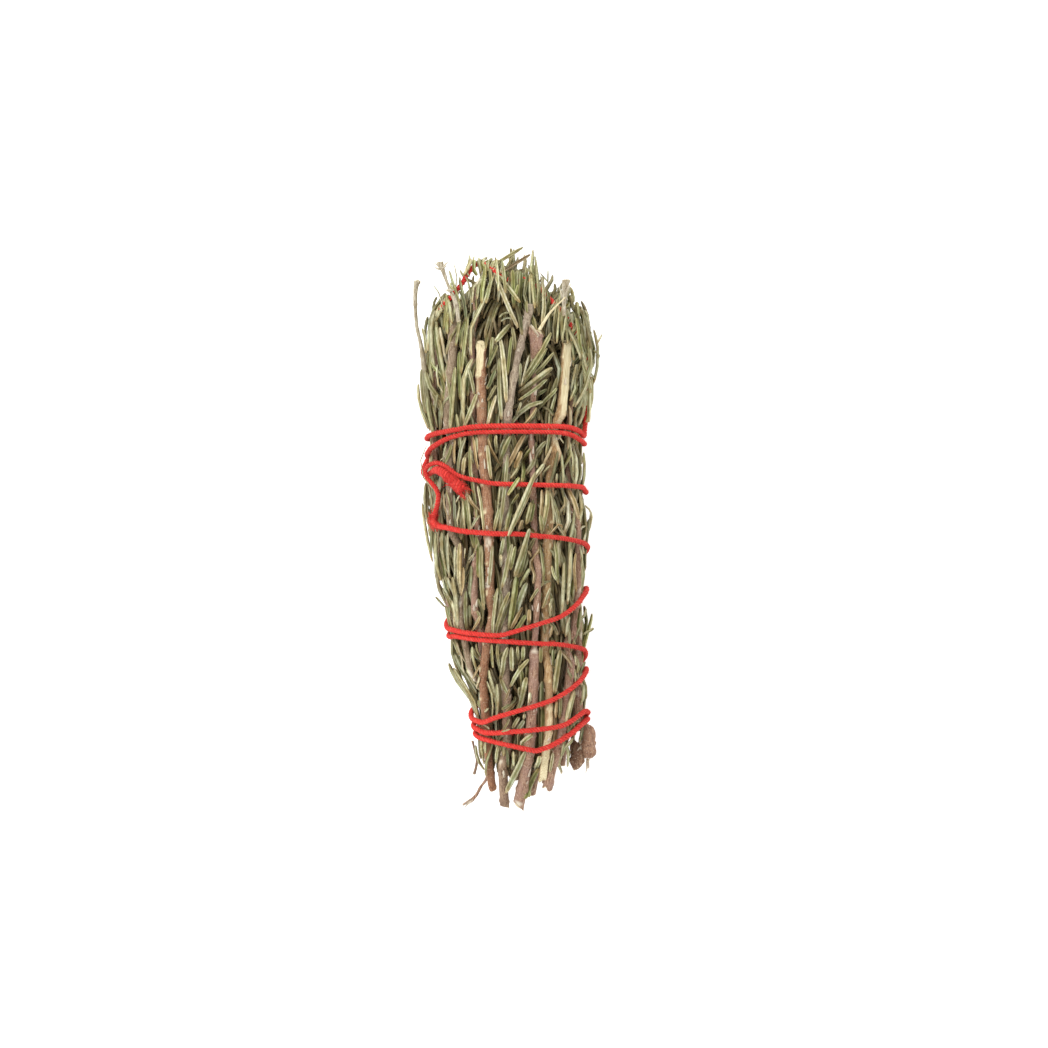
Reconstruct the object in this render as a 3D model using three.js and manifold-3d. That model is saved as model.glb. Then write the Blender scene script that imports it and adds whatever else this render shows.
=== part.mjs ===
// A rosemary smudge stick: dried leafy sprigs laid side by side and bound with red wool yarn.
// It lies on its side. +Y runs from the cut ends to the leaf tips, +X is across, +Z is up,
// and the surface that it rests on is z = 0. All lengths are in millimetres.
//
// A place in the bundle is given by three values: the angle round it (0 is the top, 90 the +X side,
// seen from the cut ends), y along it, and the inset, the depth below its outer skin.

import * as THREE from "three";
import { mergeVertices } from "three/addons/utils/BufferGeometryUtils.js";
import Module from "manifold-3d";

const wasm = await Module();
wasm.setup();

// ---------------------------------------------------------------- driving dimensions

// The outer skin of the bundle, which is the level of the yarn's outside.
// Each row is y, the middle in x, the half width and the middle in z.
const OUTLINE = [
  [-92, 3.0, 10.5, 11.5],
  [-80, 5.5, 15.0, 13.2],
  [-62, 6.6, 19.2, 16.0],
  [-33, 2.3, 22.8, 19.1],
  [-3, 0.2, 25.7, 21.4],
  [30, -1.2, 26.1, 21.9],
  [55, 0.0, 27.0, 22.6],
  [68, -0.5, 24.5, 22.6],
  [76, -0.5, 20.5, 22.4],
  [83, 0.0, 15.5, 22.0],
  [90, 0.5, 9.0, 21.6],
];
const HEIGHT_SHARE = 0.9; // the bundle's half height as a share of its half width
const CENTRE = new THREE.Vector3(-1.6, -0.5, 0); // what the frame's origin is moved by

const YARN_RADIUS = 0.82;
const YARN_INSET = YARN_RADIUS; // the yarn's middle line lies just under the outer skin
const TUFT_RADIUS = 1.4; // the untwisted, frayed end of the yarn
const TUFT_LENGTH = 6;

const STEM_CEILING = 2.15; // stems stay below this inset, just under the yarn
const LEAF_CEILING = 2.5; // leaves under the yarn stay below this inset
const LEAF_SPLAY = -0.8; // the inset that a free leaf tip lifts to
const LEAF_LENGTH = 21;
const LEAF_WIDTH = 1.5;
const LEAF_THICKNESS = 1.1;
const LEAF_BASE_SHARE = 0.55; // how wide a leaf's base is beside its middle
const LEAF_STEP = 23; // distance between leaf pairs along a stem
const LEAF_MIDDLE = 0.45; // where along a leaf its widest part is
const SIDE_LAG = 0.45; // how far the leaves of one side lag behind the other's, as a share of LEAF_STEP
const BARE_LENGTH = 10; // the leafless start of each stem
const LEAF_FANS = [0.3, 1.0]; // how far the leaf tips stand out sideways, in turn along a stem
const TOP_LEAF_FAN = -0.6; // the same for the two leaves at the top of a stem, which lie over its end
const INNER_STEP_SHARE = 1.4; // leaves are sparser on the sprigs in the middle
const FLOOR_CLEARANCE = 0.2; // the lowest leaves stay this far above the surface
const GAP = 0.35; // clearance between neighbouring pieces
const GUTTER_THICKNESS = 1.1; // the strip of joined leaf bases under each stem
const GUTTER_LIP = 0.4; // how far the strip stands out at each side of the stem
const RING_STEP = 17; // distance between a stem's rings
const STEM_SIDES = 6;
const YARN_SIDES = 6;

const LEAF_COLOUR = 0x77744a;
const INNER_LEAF_COLOUR = 0x5f5c38;
const STEM_COLOUR = 0x8f7256;
const GREY_STEM_COLOUR = 0x9c9076;
const PALE_WOOD_COLOUR = 0xd6c69c;
const YARN_COLOUR = 0xd7312b;

// The y at which each sprig's angles are given.
const ANGLE_Y = [-80, -65, -50, -35, -20, 0, 20, 40, 60, 75];

// The sprigs that show from above and at the sides, from -X round to +X, then those underneath.
// cut and top are the stem's ends in y, and leaf is where its leaves end.
// radius is the stem's radius at its cut and at its top.
const OUTER_SPRIGS = [
  {
    name: "left_edge_sprig",
    angles: [-141, -136, -124, -98, -91, -92, -85, -80, -76, -76],
    cut: -64,
    top: 62,
    leaf: 80,
    radius: [1.3, 0.8],
  },
  {
    name: "left_thick_sprig",
    angles: [-70, -68, -66, -63, -54, -57, -53, -55, -51, -70],
    cut: -48,
    top: 72,
    leaf: 78,
    radius: [1, 1.6],
  },
  {
    name: "left_slender_sprig",
    angles: [-60, -58, -52, -46, -35, -30, -29, -31, -34, -39],
    cut: -41,
    top: 80,
    leaf: 86,
    radius: [1.1, 0.9],
  },
  {
    name: "long_middle_sprig",
    angles: [-86, -69, -51, -30, -21, -17, -18, -21, -23, -23],
    cut: -83,
    top: 59.5,
    leaf: 84,
    radius: [1.3, 1.7],
  },
  {
    name: "grey_middle_sprig",
    angles: [-42, -37, -24, -15, -7, -4, 0, 2, 9, 26],
    cut: -88.5,
    top: 72,
    leaf: 86,
    radius: [1.5, 1.1],
  },
  {
    name: "thick_cut_sprig",
    angles: [-7, 2, 8, 17, 22, 24, 24, 23, 23, 23],
    cut: -88.5,
    top: 64,
    leaf: 86,
    radius: [1.9, 0.9],
  },
  {
    name: "split_sprig",
    angles: [26, 22, 25, 32, 35, 39, 45, 49.5, 57, 60],
    cut: -79.5,
    top: 61,
    leaf: 84,
    radius: [1.25, 1.65],
  },
  {
    name: "right_slender_sprig",
    angles: [41, 40, 52, 69, 80, 74, 74, 76, 76, 76],
    cut: -82.5,
    top: 50,
    leaf: 80,
    radius: [1.5, 0.8],
  },
  {
    name: "right_edge_sprig",
    angles: [64, 69, 77, 95, 99, 98, 98, 98, 99, 99],
    cut: -61,
    top: 64,
    leaf: 74,
    radius: [1.3, 0.8],
  },
  {
    name: "under_sprig_1",
    angles: [84, 88, 96, 113, 118, 119, 120, 121, 122, 122],
    cut: -61,
    top: 58,
    leaf: 68,
    radius: [1.4, 0.9],
  },
  {
    name: "under_sprig_2",
    angles: [103, 108, 117, 134, 140, 140, 142, 144, 145, 145],
    cut: -62,
    top: 60,
    leaf: 70,
    radius: [1.5, 1],
  },
  {
    name: "under_sprig_3",
    angles: [122, 127, 136, 155, 161, 162, 164, 166, 168, 168],
    cut: -76,
    top: 61,
    leaf: 72,
    radius: [1.3, 1],
  },
  {
    name: "under_sprig_4",
    angles: [142, 147, 157, 176, 183, 183, 186, 189, 191, 191],
    cut: -82,
    top: 60,
    leaf: 71,
    radius: [1.5, 0.9],
  },
  {
    name: "under_sprig_5",
    angles: [161, 166, 176, 198, 205, 204, 209, 212, 214, 214],
    cut: -74,
    top: 62,
    leaf: 72,
    radius: [1.4, 1],
  },
  {
    name: "under_sprig_6",
    angles: [180, 185, 197, 219, 226, 225, 230, 234, 237, 237],
    cut: -79,
    top: 59,
    leaf: 70,
    radius: [1.3, 0.9],
  },
  {
    name: "under_sprig_7",
    angles: [199, 204, 216, 240, 248, 247, 253, 257, 260, 260],
    cut: -72,
    top: 60,
    leaf: 69,
    radius: [1.4, 0.9],
  },
];

// The sprigs that fill the middle: a ring of five and one on the axis.
const INNER_RING = 5;
const INNER_RING_SHARE = 0.36; // the ring's radius as a share of the bundle's
const INNER_TWIST = [-45, -41, -32, -14, -5, 0, 0, 0, 0, 0]; // how far the ring has turned at each ANGLE_Y
const INNER_CUT = [-80, -85, -77, -83, -79];

// Thin twigs that stand free at the ends: x, y, z of their middle line, and the radius at each point.
const TWIGS = [
  {
    name: "bare_twig",
    points: [
      [-26.6, 41.5, 25.8],
      [-27, 50.9, 25],
      [-28.4, 60, 25.5],
      [-29.7, 66, 26.2],
      [-30.1, 73, 27],
      [-29.9, 78, 27.5],
      [-29.4, 79.8, 27.7],
    ],
    radii: [0.9, 0.9, 0.6, 0.55, 0.6, 0.8, 1.1],
  },
  {
    name: "flower_stalk",
    points: [
      [-16, 66, 41],
      [-17.1, 72.6, 39.5],
      [-19.1, 77, 38.5],
      [-20.5, 81, 38],
      [-21.9, 85.2, 38],
    ],
    radii: [0.8, 0.9, 0.6, 0.7, 1.4],
  },
  {
    name: "cream_twig",
    points: [
      [9.4, 63.4, 44],
      [11.2, 66.4, 44.3],
      [13, 69.1, 43.8],
      [17.8, 73.9, 42.5],
    ],
    radii: [0.8, 0.65, 0.55, 0.3],
  },
  {
    name: "dry_calyx_twig",
    points: [
      [17.3, 68, 37.5],
      [17.3, 73, 37],
      [18, 79.5, 36],
    ],
    radii: [0.6, 0.6, 1.2],
  },
  {
    name: "bud_twig",
    points: [
      [-6.9, -77, 8.2],
      [-7.6, -80.4, 8],
      [-9.2, -82.6, 8.1],
      [-11.5, -86.3, 8.3],
      [-15.1, -88.6, 8.6],
    ],
    radii: [0.5, 0.5, 0.45, 0.6, 0.35],
  },
  {
    name: "hooked_twig",
    points: [
      [-12, -67.6, 12],
      [-11, -72, 11.5],
      [-10.6, -74.6, 11.2],
      [-11.4, -78.6, 11],
    ],
    radii: [0.4, 0.35, 0.35, 0.5],
  },
];

// The short broken stub at the +X side of the cut end.
const STUB = {
  name: "broken_stub",
  points: [
    [25.4, -62.6, 13],
    [25.0, -65.2, 13.4],
    [23.9, -69.5, 13.4],
    [23.0, -73.5, 13.2],
    [22.4, -76.4, 13],
  ],
  radii: [1.4, 2.4, 3.6, 3.1, 1.6],
};

// The yarn's route, one row a point: angle, y, and an inset where it isn't YARN_INSET.
// The angle runs on past a full turn, so each pass over the top is 360 from the next.
const TIP_LOOP = [
  [-33, 13, 0.2],
  [-38, 15, -0.2],
  [-44, 17, -0.4],
  [-51, 18.7, -0.3],
  [-59, 19.4, 0.1],
  [-68, 18.8, 0.6],
  [-80, 18, 0.2],
  [-95, 19, -0.8],
  [-110, 22.5, -1.2],
  [-122, 27.5, -1.1],
  [-126, 32.5, -1],
  [-124, 42, 0],
  [-110, 54, 0.2],
  [-100, 62, 1],
  [-92, 68.5, 2.2],
  [-69.6, 73, 1.5],
  [-63.4, 76.2, 1.5],
  [-59.2, 78.7, 1.6],
  [-63, 82.6, 1.4],
  [-64, 85, 1.6],
  [-56, 85.9, 2.4],
  [-29, 83.5, 3.4],
  [-6, 80.3, 5.5],
  [14, 79.4, 5.6],
  [24.5, 80.3, 4.4],
  [33, 79, 4.2],
  [41, 76.5, 4.2],
  [54, 70, 3],
  [68, 62, 2.6],
  [80, 54, 2],
  [90, 43, 1.2],
];
const UPPER_WRAPS = [
  [85, 31],
  [64, 32.1],
  [48, 33],
  [18, 33.1],
  [-8, 33.1],
  [-26, 32.8],
  [-41, 31.9],
  [-76, 30.3],
  [-95, 29.6],
  [-180, 30],
  [-265, 27.9],
  [-288, 28.9],
  [-312, 31],
  [-346, 31.35],
  [-383, 31.1],
  [-398, 30.1],
  [-411, 28.8],
  [-422, 27.3],
  [-432, 26.2],
  [-452, 24.2],
  [-540, 19],
  [-625, 12.6],
  [-648, 13.9],
  [-673, 14.4],
  [-689, 14.5],
  [-708, 14.7],
  [-729, 15],
  [-744, 16.2],
  [-752, 16.9],
];
const HITCH = [
  [-759, 18, 0.6],
  [-768, 20.4, 0.4],
  [-777, 21.6, 0.2],
  [-787, 21, -0.6],
  [-792, 19.2, -1.1],
  [-790, 16.9, -0.9],
  [-784, 14.4, 0.2],
  [-781, 11.9],
  [-782, 9.3],
  [-787, 6.2],
  [-792, 4.3],
  [-791.5, 2.5],
  [-783, 1.5],
];
const LOWER_WRAPS = [
  [-771, 1],
  [-756, 0],
  [-731, -0.8],
  [-715, -0.9],
  [-697, -1.6],
  [-680, -2.2],
  [-661, -3.2],
  [-640, -4.6],
  [-615, -7],
  [-540, -19],
  [-455, -29.8],
  [-422, -31.7],
  [-396, -32.65],
  [-375, -33],
  [-365, -32.2],
  [-356, -31.2],
  [-340, -29.4],
  [-319, -27],
  [-299, -23.2],
  [-284, -20.3],
  [-264, -18.5],
  [-235, -20.6],
  [-180, -26.5],
  [-95, -33.3],
  [-62, -33.6],
  [-36, -34.4],
  [-16, -34.85],
  [3, -35.3],
  [21, -35.7],
  [34, -35.9],
  [50, -36.6],
  [75, -37.9],
  [90, -39.4],
  [180, -50],
  [265, -59],
  [294, -60.8],
  [308, -61],
  [324, -59.5],
  [346, -57.5],
  [367, -55.5],
  [386, -53.4],
  [413, -49.2],
  [431, -46.4],
  [448, -44.6],
  [472, -45.4],
  [540, -56],
  [622, -62.2],
  [650, -63.4],
  [662, -64.3],
  [680, -64.4],
  [704, -63.8],
  [732, -63],
  [747, -62.4],
  [759, -61.5],
  [777, -59],
  [791, -57.8],
  [810, -58.4],
  [900, -63],
  [982, -64.9],
  [1000, -65.6],
  [1012, -66.2],
  [1030, -66.9],
  [1050, -67.9],
  [1064, -68.7],
  [1077, -69.5],
  [1086, -70],
  [1095, -69.3],
  [1105, -68.1],
  [1127, -64.6],
  [1144, -61.8],
  [1168, -60.4],
  [1200, -62],
  [1232, -64.4],
];
const YARN_ROUTE = [...TIP_LOOP, ...UPPER_WRAPS, ...HITCH, ...LOWER_WRAPS];

// ---------------------------------------------------------------- the bundle's shape

// The smooth value of one column of rows [y, ...] at y: a cubic between rows, held past the ends.
function readRows(rows, y, column) {
  const last = rows.length - 1;
  const at = THREE.MathUtils.clamp(y, rows[0][0], rows[last][0]);
  let i = 0;
  while (i < last - 1 && at > rows[i + 1][0]) i += 1;
  const slope = (k) => {
    const before = rows[Math.max(k - 1, 0)];
    const after = rows[Math.min(k + 1, last)];
    return (after[column] - before[column]) / (after[0] - before[0]);
  };
  const span = rows[i + 1][0] - rows[i][0];
  const t = (at - rows[i][0]) / span;
  const ease = t * t * (3 - 2 * t);
  const value = rows[i][column] * (1 - ease) + rows[i + 1][column] * ease;
  const startPull = t * (1 - t) * (1 - t) * span * slope(i);
  const endPull = t * t * (1 - t) * span * slope(i + 1);
  return value + startPull - endPull;
}

// The point at an angle round the bundle, at y, and at an inset below its outer skin.
// The underside is flattened where the bundle rests.
function bundlePoint(angle, y, inset) {
  const halfWidth = readRows(OUTLINE, y, 2);
  const halfHeight = HEIGHT_SHARE * halfWidth;
  const turn = THREE.MathUtils.degToRad(angle);
  const x = readRows(OUTLINE, y, 1) + (halfWidth - inset) * Math.sin(turn);
  const z = readRows(OUTLINE, y, 3) + (halfHeight - inset) * Math.cos(turn);
  return new THREE.Vector3(x, y, Math.max(z, inset, FLOOR_CLEARANCE)).sub(CENTRE);
}

// How many degrees of turn an arc of the given length is, at y and at an inset.
function arcDegrees(length, y, inset) {
  const radius = readRows(OUTLINE, y, 2) * (1 + HEIGHT_SHARE) / 2 - inset;
  return THREE.MathUtils.radToDeg(length / Math.max(radius, 1));
}

// A sprig's angle at y, from its row of angles.
function sprigAngle(angles, y) {
  return readRows(ANGLE_Y.map((at, i) => [at, angles[i]]), y, 1);
}

// ---------------------------------------------------------------- closed surfaces

// A closed skin over rings of points that all have the same number of points, with flat ends.
// Each ring runs from +X towards +Z as seen along its path, so the faces point outwards.
function closedLoft(rings) {
  const sides = rings[0].length;
  const index = [];
  for (let j = 0; j < rings.length - 1; j += 1) {
    for (let i = 0; i < sides; i += 1) {
      const a = j * sides + i;
      const b = j * sides + ((i + 1) % sides);
      index.push(a, a + sides, b + sides, a, b + sides, b);
    }
  }
  const end = (rings.length - 1) * sides;
  for (let i = 1; i < sides - 1; i += 1) {
    index.push(0, i, i + 1);
    index.push(end, end + i + 1, end + i);
  }
  const geometry = new THREE.BufferGeometry().setFromPoints(rings.flat());
  geometry.setIndex(index);
  return geometry;
}

// A ring of points round a centre, in the plane of the directions across and up.
function ring(centre, across, up, halfWidth, halfHeight, sides, start = 0) {
  return Array.from({ length: sides }, (_, i) => {
    const turn = start + (2 * Math.PI * i) / sides;
    return centre
      .clone()
      .addScaledVector(across, halfWidth * Math.cos(turn))
      .addScaledVector(up, halfHeight * Math.sin(turn));
  });
}

// A round rod through points, whose rings stay in planes of constant y.
function rodGeometry(points, radii, sides) {
  const across = new THREE.Vector3(1, 0, 0);
  const up = new THREE.Vector3(0, 0, 1);
  const rings = points.map((point, i) => ring(point, across, up, radii[i], radii[i], sides));
  const runsForward = points[0].y < points[points.length - 1].y;
  return closedLoft(runsForward ? rings : rings.reverse());
}

function toSolid(geometry) {
  const bare = mergeVertices(geometry, 1e-4);
  return new wasm.Manifold(
    new wasm.Mesh({
      numProp: 3,
      vertProperties: new Float32Array(bare.attributes.position.array),
      triVerts: new Uint32Array(bare.index.array),
    }),
  );
}

function toGeometry(solid) {
  const mesh = solid.getMesh();
  const geometry = new THREE.BufferGeometry();
  geometry.setAttribute("position", new THREE.BufferAttribute(new Float32Array(mesh.vertProperties), 3));
  geometry.setIndex(new THREE.BufferAttribute(new Uint32Array(mesh.triVerts), 1));
  return geometry;
}

// ---------------------------------------------------------------- the yarn

// Points close together along the yarn's middle line.
function yarnLine() {
  const degreesToMillimetres = 0.4; // evens out the spline's three values
  const pointsPerRow = 24;
  const rows = YARN_ROUTE.map(([angle, y, inset = YARN_INSET]) => {
    return new THREE.Vector3(angle * degreesToMillimetres, y, inset);
  });
  const spline = new THREE.CatmullRomCurve3(rows, false, "catmullrom", 0.5);
  const places = spline.getPoints(pointsPerRow * (rows.length - 1));
  return places.map((place) => bundlePoint(place.x / degreesToMillimetres, place.y, place.z));
}

// Fewer points of a line: one wherever it has turned by so much or run on by so far.
function thinLine(line, mostTurn, mostLength) {
  const kept = [line[0]];
  let turned = 0;
  let length = 0;
  for (let i = 1; i < line.length - 1; i += 1) {
    const before = line[i].clone().sub(line[i - 1]);
    const after = line[i + 1].clone().sub(line[i]);
    turned += before.angleTo(after);
    length += before.length();
    if (turned > mostTurn || length > mostLength) {
      kept.push(line[i]);
      turned = 0;
      length = 0;
    }
  }
  kept.push(line[line.length - 1]);
  return kept;
}

// A tube along the yarn's line, wider at its frayed first end.
function yarnGeometry(line, extra = 0) {
  const turnPerRing = 0.34;
  const lengthPerRing = 9;
  const points = thinLine(line, turnPerRing, lengthPerRing);
  let normal = new THREE.Vector3(0, 0, 1);
  let run = 0;
  const rings = points.map((point, i) => {
    const before = points[Math.max(i - 1, 0)];
    const tangent = points[Math.min(i + 1, points.length - 1)].clone().sub(before).normalize();
    normal = normal.clone().addScaledVector(tangent, -normal.dot(tangent)).normalize();
    const up = normal.clone().cross(tangent);
    run += i ? point.distanceTo(before) : 0;
    const fray = 1 - THREE.MathUtils.smoothstep(run, TUFT_LENGTH / 2, TUFT_LENGTH);
    const radius = THREE.MathUtils.lerp(YARN_RADIUS, TUFT_RADIUS, fray);
    return ring(point, normal, up, radius + extra, radius + extra, YARN_SIDES);
  });
  return closedLoft(rings);
}

// ---------------------------------------------------------------- sprigs

// One slim three-sided leaf, pointed at its end, through a base, a middle and a tip.
function leafGeometry(base, middle, tip, outward, extra = 0) {
  const along = tip.clone().sub(base).normalize();
  const up = outward.clone().addScaledVector(along, -outward.dot(along)).normalize();
  const across = along.clone().cross(up);
  const cornerRing = (centre, share) => {
    const halfWidth = (share * LEAF_WIDTH) / 2 + extra;
    return ring(centre, across, up, halfWidth, (share * LEAF_THICKNESS) / 2 + extra, 3, Math.PI / 2);
  };
  const points = [...cornerRing(base, LEAF_BASE_SHARE), ...cornerRing(middle, 1), tip];
  const geometry = new THREE.BufferGeometry().setFromPoints(points);
  const index = [0, 1, 2];
  for (let i = 0; i < 3; i += 1) {
    const next = (i + 1) % 3;
    index.push(i, i + 3, next + 3, i, next + 3, next, i + 3, 6, next + 3);
  }
  geometry.setIndex(index);
  return geometry;
}

// Evenly spaced values from a first to a last, about a step apart.
function steps(first, last, step) {
  const count = Math.max(Math.round((last - first) / step), 1);
  return Array.from({ length: count + 1 }, (_, i) => THREE.MathUtils.lerp(first, last, i / count));
}

// What a sprig's stem and leaves are placed by: its angle, inset and radius at y.
function sprigLines(sprig) {
  const radiusAt = (y) => THREE.MathUtils.mapLinear(y, sprig.cut, sprig.top, ...sprig.radius);
  const insetAt = (y) =>
    sprig.share === undefined
      ? STEM_CEILING + radiusAt(y)
      : (1 - sprig.share) * readRows(OUTLINE, y, 2);
  return { radiusAt, insetAt, angleAt: (y) => sprigAngle(sprig.angles, y) };
}

function stemGeometry(sprig, extra = 0) {
  const { radiusAt, insetAt, angleAt } = sprigLines(sprig);
  const ys = steps(sprig.cut, sprig.top, RING_STEP);
  const points = ys.map((y) => bundlePoint(angleAt(y), y, insetAt(y)));
  return rodGeometry(points, ys.map((y) => radiusAt(y) + extra), STEM_SIDES);
}

// The direction away from the bundle's axis, square to y, at an angle round it.
function outwardAt(angle, y) {
  const skin = bundlePoint(angle, y, 0);
  const axis = new THREE.Vector3(readRows(OUTLINE, y, 1), y, readRows(OUTLINE, y, 3)).sub(CENTRE);
  return skin.sub(axis).setY(0).normalize();
}

// The strip of joined leaf bases that runs along the inner side of a stem.
function gutterGeometry(sprig, room) {
  const { radiusAt, insetAt, angleAt } = sprigLines(sprig);
  const rings = steps(sprig.cut + BARE_LENGTH - 1, sprig.top - 1, RING_STEP).map((y) => {
    const outward = outwardAt(angleAt(y), y);
    const across = new THREE.Vector3(outward.z, 0, -outward.x);
    const depth = radiusAt(y) + GAP + GUTTER_THICKNESS / 2;
    const centre = bundlePoint(angleAt(y), y, insetAt(y)).addScaledVector(outward, -depth);
    const corner = ([side, level]) => {
      const free = room[side](y) / arcDegrees(1, y, insetAt(y) + depth) - 2 * GAP;
      const halfWidth = Math.min(radiusAt(y) + GUTTER_LIP, free);
      const sideways = centre.clone().addScaledVector(across, side * halfWidth);
      return sideways.addScaledVector(outward, (level * GUTTER_THICKNESS) / 2);
    };
    return [[-1, -1], [1, -1], [1, 1], [-1, 1]].map(corner);
  });
  return closedLoft(rings);
}

// The leaves of one sprig as one body: slim leaves that leave the gutter on both sides of the stem.
// A leaf tip stands free of the bundle where it can, and else lies low. A leaf that would run into
// what has already grown is left out. room gives the free angle on each side of the stem at y.
function leavesSolid(sprig, room, grown) {
  const { radiusAt, insetAt, angleAt } = sprigLines(sprig);
  const isInner = sprig.share !== undefined;
  let body = toSolid(gutterGeometry(sprig, room));
  const place = (y, side, sideways, inset) => {
    const wanted = arcDegrees(radiusAt(y) + sideways, y, inset);
    const most = room[side](y) - arcDegrees((LEAF_WIDTH + GAP) / 2, y, inset);
    return bundlePoint(angleAt(y) + side * Math.min(wanted, most), y, inset);
  };
  const growLeaf = (y, side, fan, endY = Math.min(y + LEAF_LENGTH, sprig.leaf)) => {
    const middleY = THREE.MathUtils.lerp(y, endY, LEAF_MIDDLE);
    const base = place(y, side, 0.1, insetAt(y) + radiusAt(y) + GAP + GUTTER_THICKNESS / 2);
    const middle = place(middleY, side, GAP + LEAF_WIDTH / 2, insetAt(middleY) + 0.6);
    const outward = outwardAt(angleAt(y), y);
    const tipInsets = isInner ? [insetAt(endY), insetAt(endY) + 1.5] : [LEAF_SPLAY, LEAF_CEILING + 0.7];
    const tips = tipInsets.map((inset) => place(endY, side, GAP + LEAF_WIDTH / 2 + fan, inset));
    const isFree = (tip) => {
      const wider = toSolid(leafGeometry(base, middle, tip, outward, GAP * 0.6));
      return grown.every((other) => wider.intersect(other).isEmpty());
    };
    const tip = tips.find(isFree);
    if (tip) body = body.add(toSolid(leafGeometry(base, middle, tip, outward)));
  };
  const lastRow = Math.min(sprig.top - 2, sprig.leaf - LEAF_LENGTH);
  const rowStep = isInner ? INNER_STEP_SHARE * LEAF_STEP : LEAF_STEP;
  steps(sprig.cut + BARE_LENGTH, lastRow, rowStep).forEach((y, row) => {
    growLeaf(y, -1, LEAF_FANS[row % 2]);
    growLeaf(Math.min(y + LEAF_STEP * SIDE_LAG, lastRow + 3), 1, LEAF_FANS[(row + 1) % 2]);
  });
  growLeaf(sprig.top - 5, -1, TOP_LEAF_FAN, sprig.leaf);
  growLeaf(sprig.top - 2, 1, TOP_LEAF_FAN, sprig.leaf + 1.5);
  const carved = body.subtract(toSolid(stemGeometry(sprig, GAP * 0.8)));
  return carved.decompose().sort((a, b) => b.volume() - a.volume())[0];
}

// ---------------------------------------------------------------- the object

const smudgeStick = new THREE.Group();

function addPiece(name, geometry, colour, roughness) {
  const material = new THREE.MeshStandardMaterial({ color: colour, roughness, metalness: 0 });
  const mesh = new THREE.Mesh(geometry, material);
  mesh.name = name;
  smudgeStick.add(mesh);
}

function stemColour(name) {
  if (name === "split_sprig") return PALE_WOOD_COLOUR;
  return name === "grey_middle_sprig" ? GREY_STEM_COLOUR : STEM_COLOUR;
}

function centredPoints(points) {
  return points.map((p) => new THREE.Vector3(...p).sub(CENTRE));
}

// Half of the angle to each neighbour is a sprig's own room.
function outerRoom(i) {
  const count = OUTER_SPRIGS.length;
  const angleOf = (k, y) => sprigAngle(OUTER_SPRIGS[(k + count) % count].angles, y);
  const apart = (from, to, y) => THREE.MathUtils.euclideanModulo(angleOf(to, y) - angleOf(from, y), 360);
  return { "-1": (y) => apart(i - 1, i, y) / 2, 1: (y) => apart(i, i + 1, y) / 2 };
}

function innerSprig(i) {
  return {
    name: "inner_sprig_" + (i + 1),
    angles: INNER_TWIST.map((twist) => twist + (i * 360) / INNER_RING),
    cut: INNER_CUT[i],
    top: 58,
    leaf: 70,
    radius: [1.5, 1.0],
    share: INNER_RING_SHARE,
  };
}

const innerHalf = () => 180 / INNER_RING;
const sprigs = [
  ...OUTER_SPRIGS.map((sprig, i) => ({ ...sprig, room: outerRoom(i), leafColour: LEAF_COLOUR })),
  ...Array.from({ length: INNER_RING }, (_, i) => innerSprig(i)).map((sprig) => ({
    ...sprig,
    room: { "-1": innerHalf, 1: innerHalf },
    leafColour: INNER_LEAF_COLOUR,
  })),
];
const looseRods = [...TWIGS, STUB].map((rod) => ({ ...rod, line: centredPoints(rod.points) }));
const yarn = yarnLine();

// What stands before the leaves grow, each a little larger than it is.
const grown = [
  toSolid(yarnGeometry(yarn, GAP)),
  ...looseRods.map(({ line, radii }) => toSolid(rodGeometry(line, radii.map((r) => r + GAP), STEM_SIDES))),
  ...sprigs.map((sprig) => toSolid(stemGeometry(sprig))),
];

for (const sprig of sprigs) {
  const leaves = leavesSolid(sprig, sprig.room, grown);
  grown.push(leaves);
  addPiece(sprig.name + "_stem", stemGeometry(sprig), stemColour(sprig.name), 0.8);
  addPiece(sprig.name + "_leaves", toGeometry(leaves), sprig.leafColour, 0.7);
}
for (const { name, line, radii } of looseRods) {
  addPiece(name, rodGeometry(line, radii, STEM_SIDES), STEM_COLOUR, 0.8);
}
addPiece("red_yarn", yarnGeometry(yarn), YARN_COLOUR, 0.9);

export default smudgeStick;
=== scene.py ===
# %% [markdown]
# # A rosemary smudge stick
# Sprigs of dried rosemary lie side by side and are bound tightly with red wool yarn. The bundle
# lies on its side: +Y runs from the cut ends to the leaf tips, +X is across and +Z is up. The
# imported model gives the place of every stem, twig and length of yarn. This file adds what the eye
# looks for: thousands of slim leaves, bark, torn wood and twisted wool. Lengths are written in
# millimetres and become metres only when a mesh is made.

import bpy
import numpy as np
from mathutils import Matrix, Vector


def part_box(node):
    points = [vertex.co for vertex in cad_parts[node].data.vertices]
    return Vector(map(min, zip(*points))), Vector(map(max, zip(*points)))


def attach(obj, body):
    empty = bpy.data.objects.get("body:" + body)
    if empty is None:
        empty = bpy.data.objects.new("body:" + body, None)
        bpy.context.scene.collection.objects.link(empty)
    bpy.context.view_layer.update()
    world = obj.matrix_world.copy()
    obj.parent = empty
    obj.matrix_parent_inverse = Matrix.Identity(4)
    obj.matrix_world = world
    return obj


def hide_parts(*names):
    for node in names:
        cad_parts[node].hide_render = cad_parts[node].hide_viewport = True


MM = 0.001
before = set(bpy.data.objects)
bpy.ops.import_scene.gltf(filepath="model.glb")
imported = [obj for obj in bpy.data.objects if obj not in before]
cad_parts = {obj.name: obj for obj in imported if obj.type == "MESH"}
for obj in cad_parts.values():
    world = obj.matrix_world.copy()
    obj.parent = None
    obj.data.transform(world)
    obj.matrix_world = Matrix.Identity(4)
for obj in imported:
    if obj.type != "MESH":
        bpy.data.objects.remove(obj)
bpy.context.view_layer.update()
scene = bpy.context.scene

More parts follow.
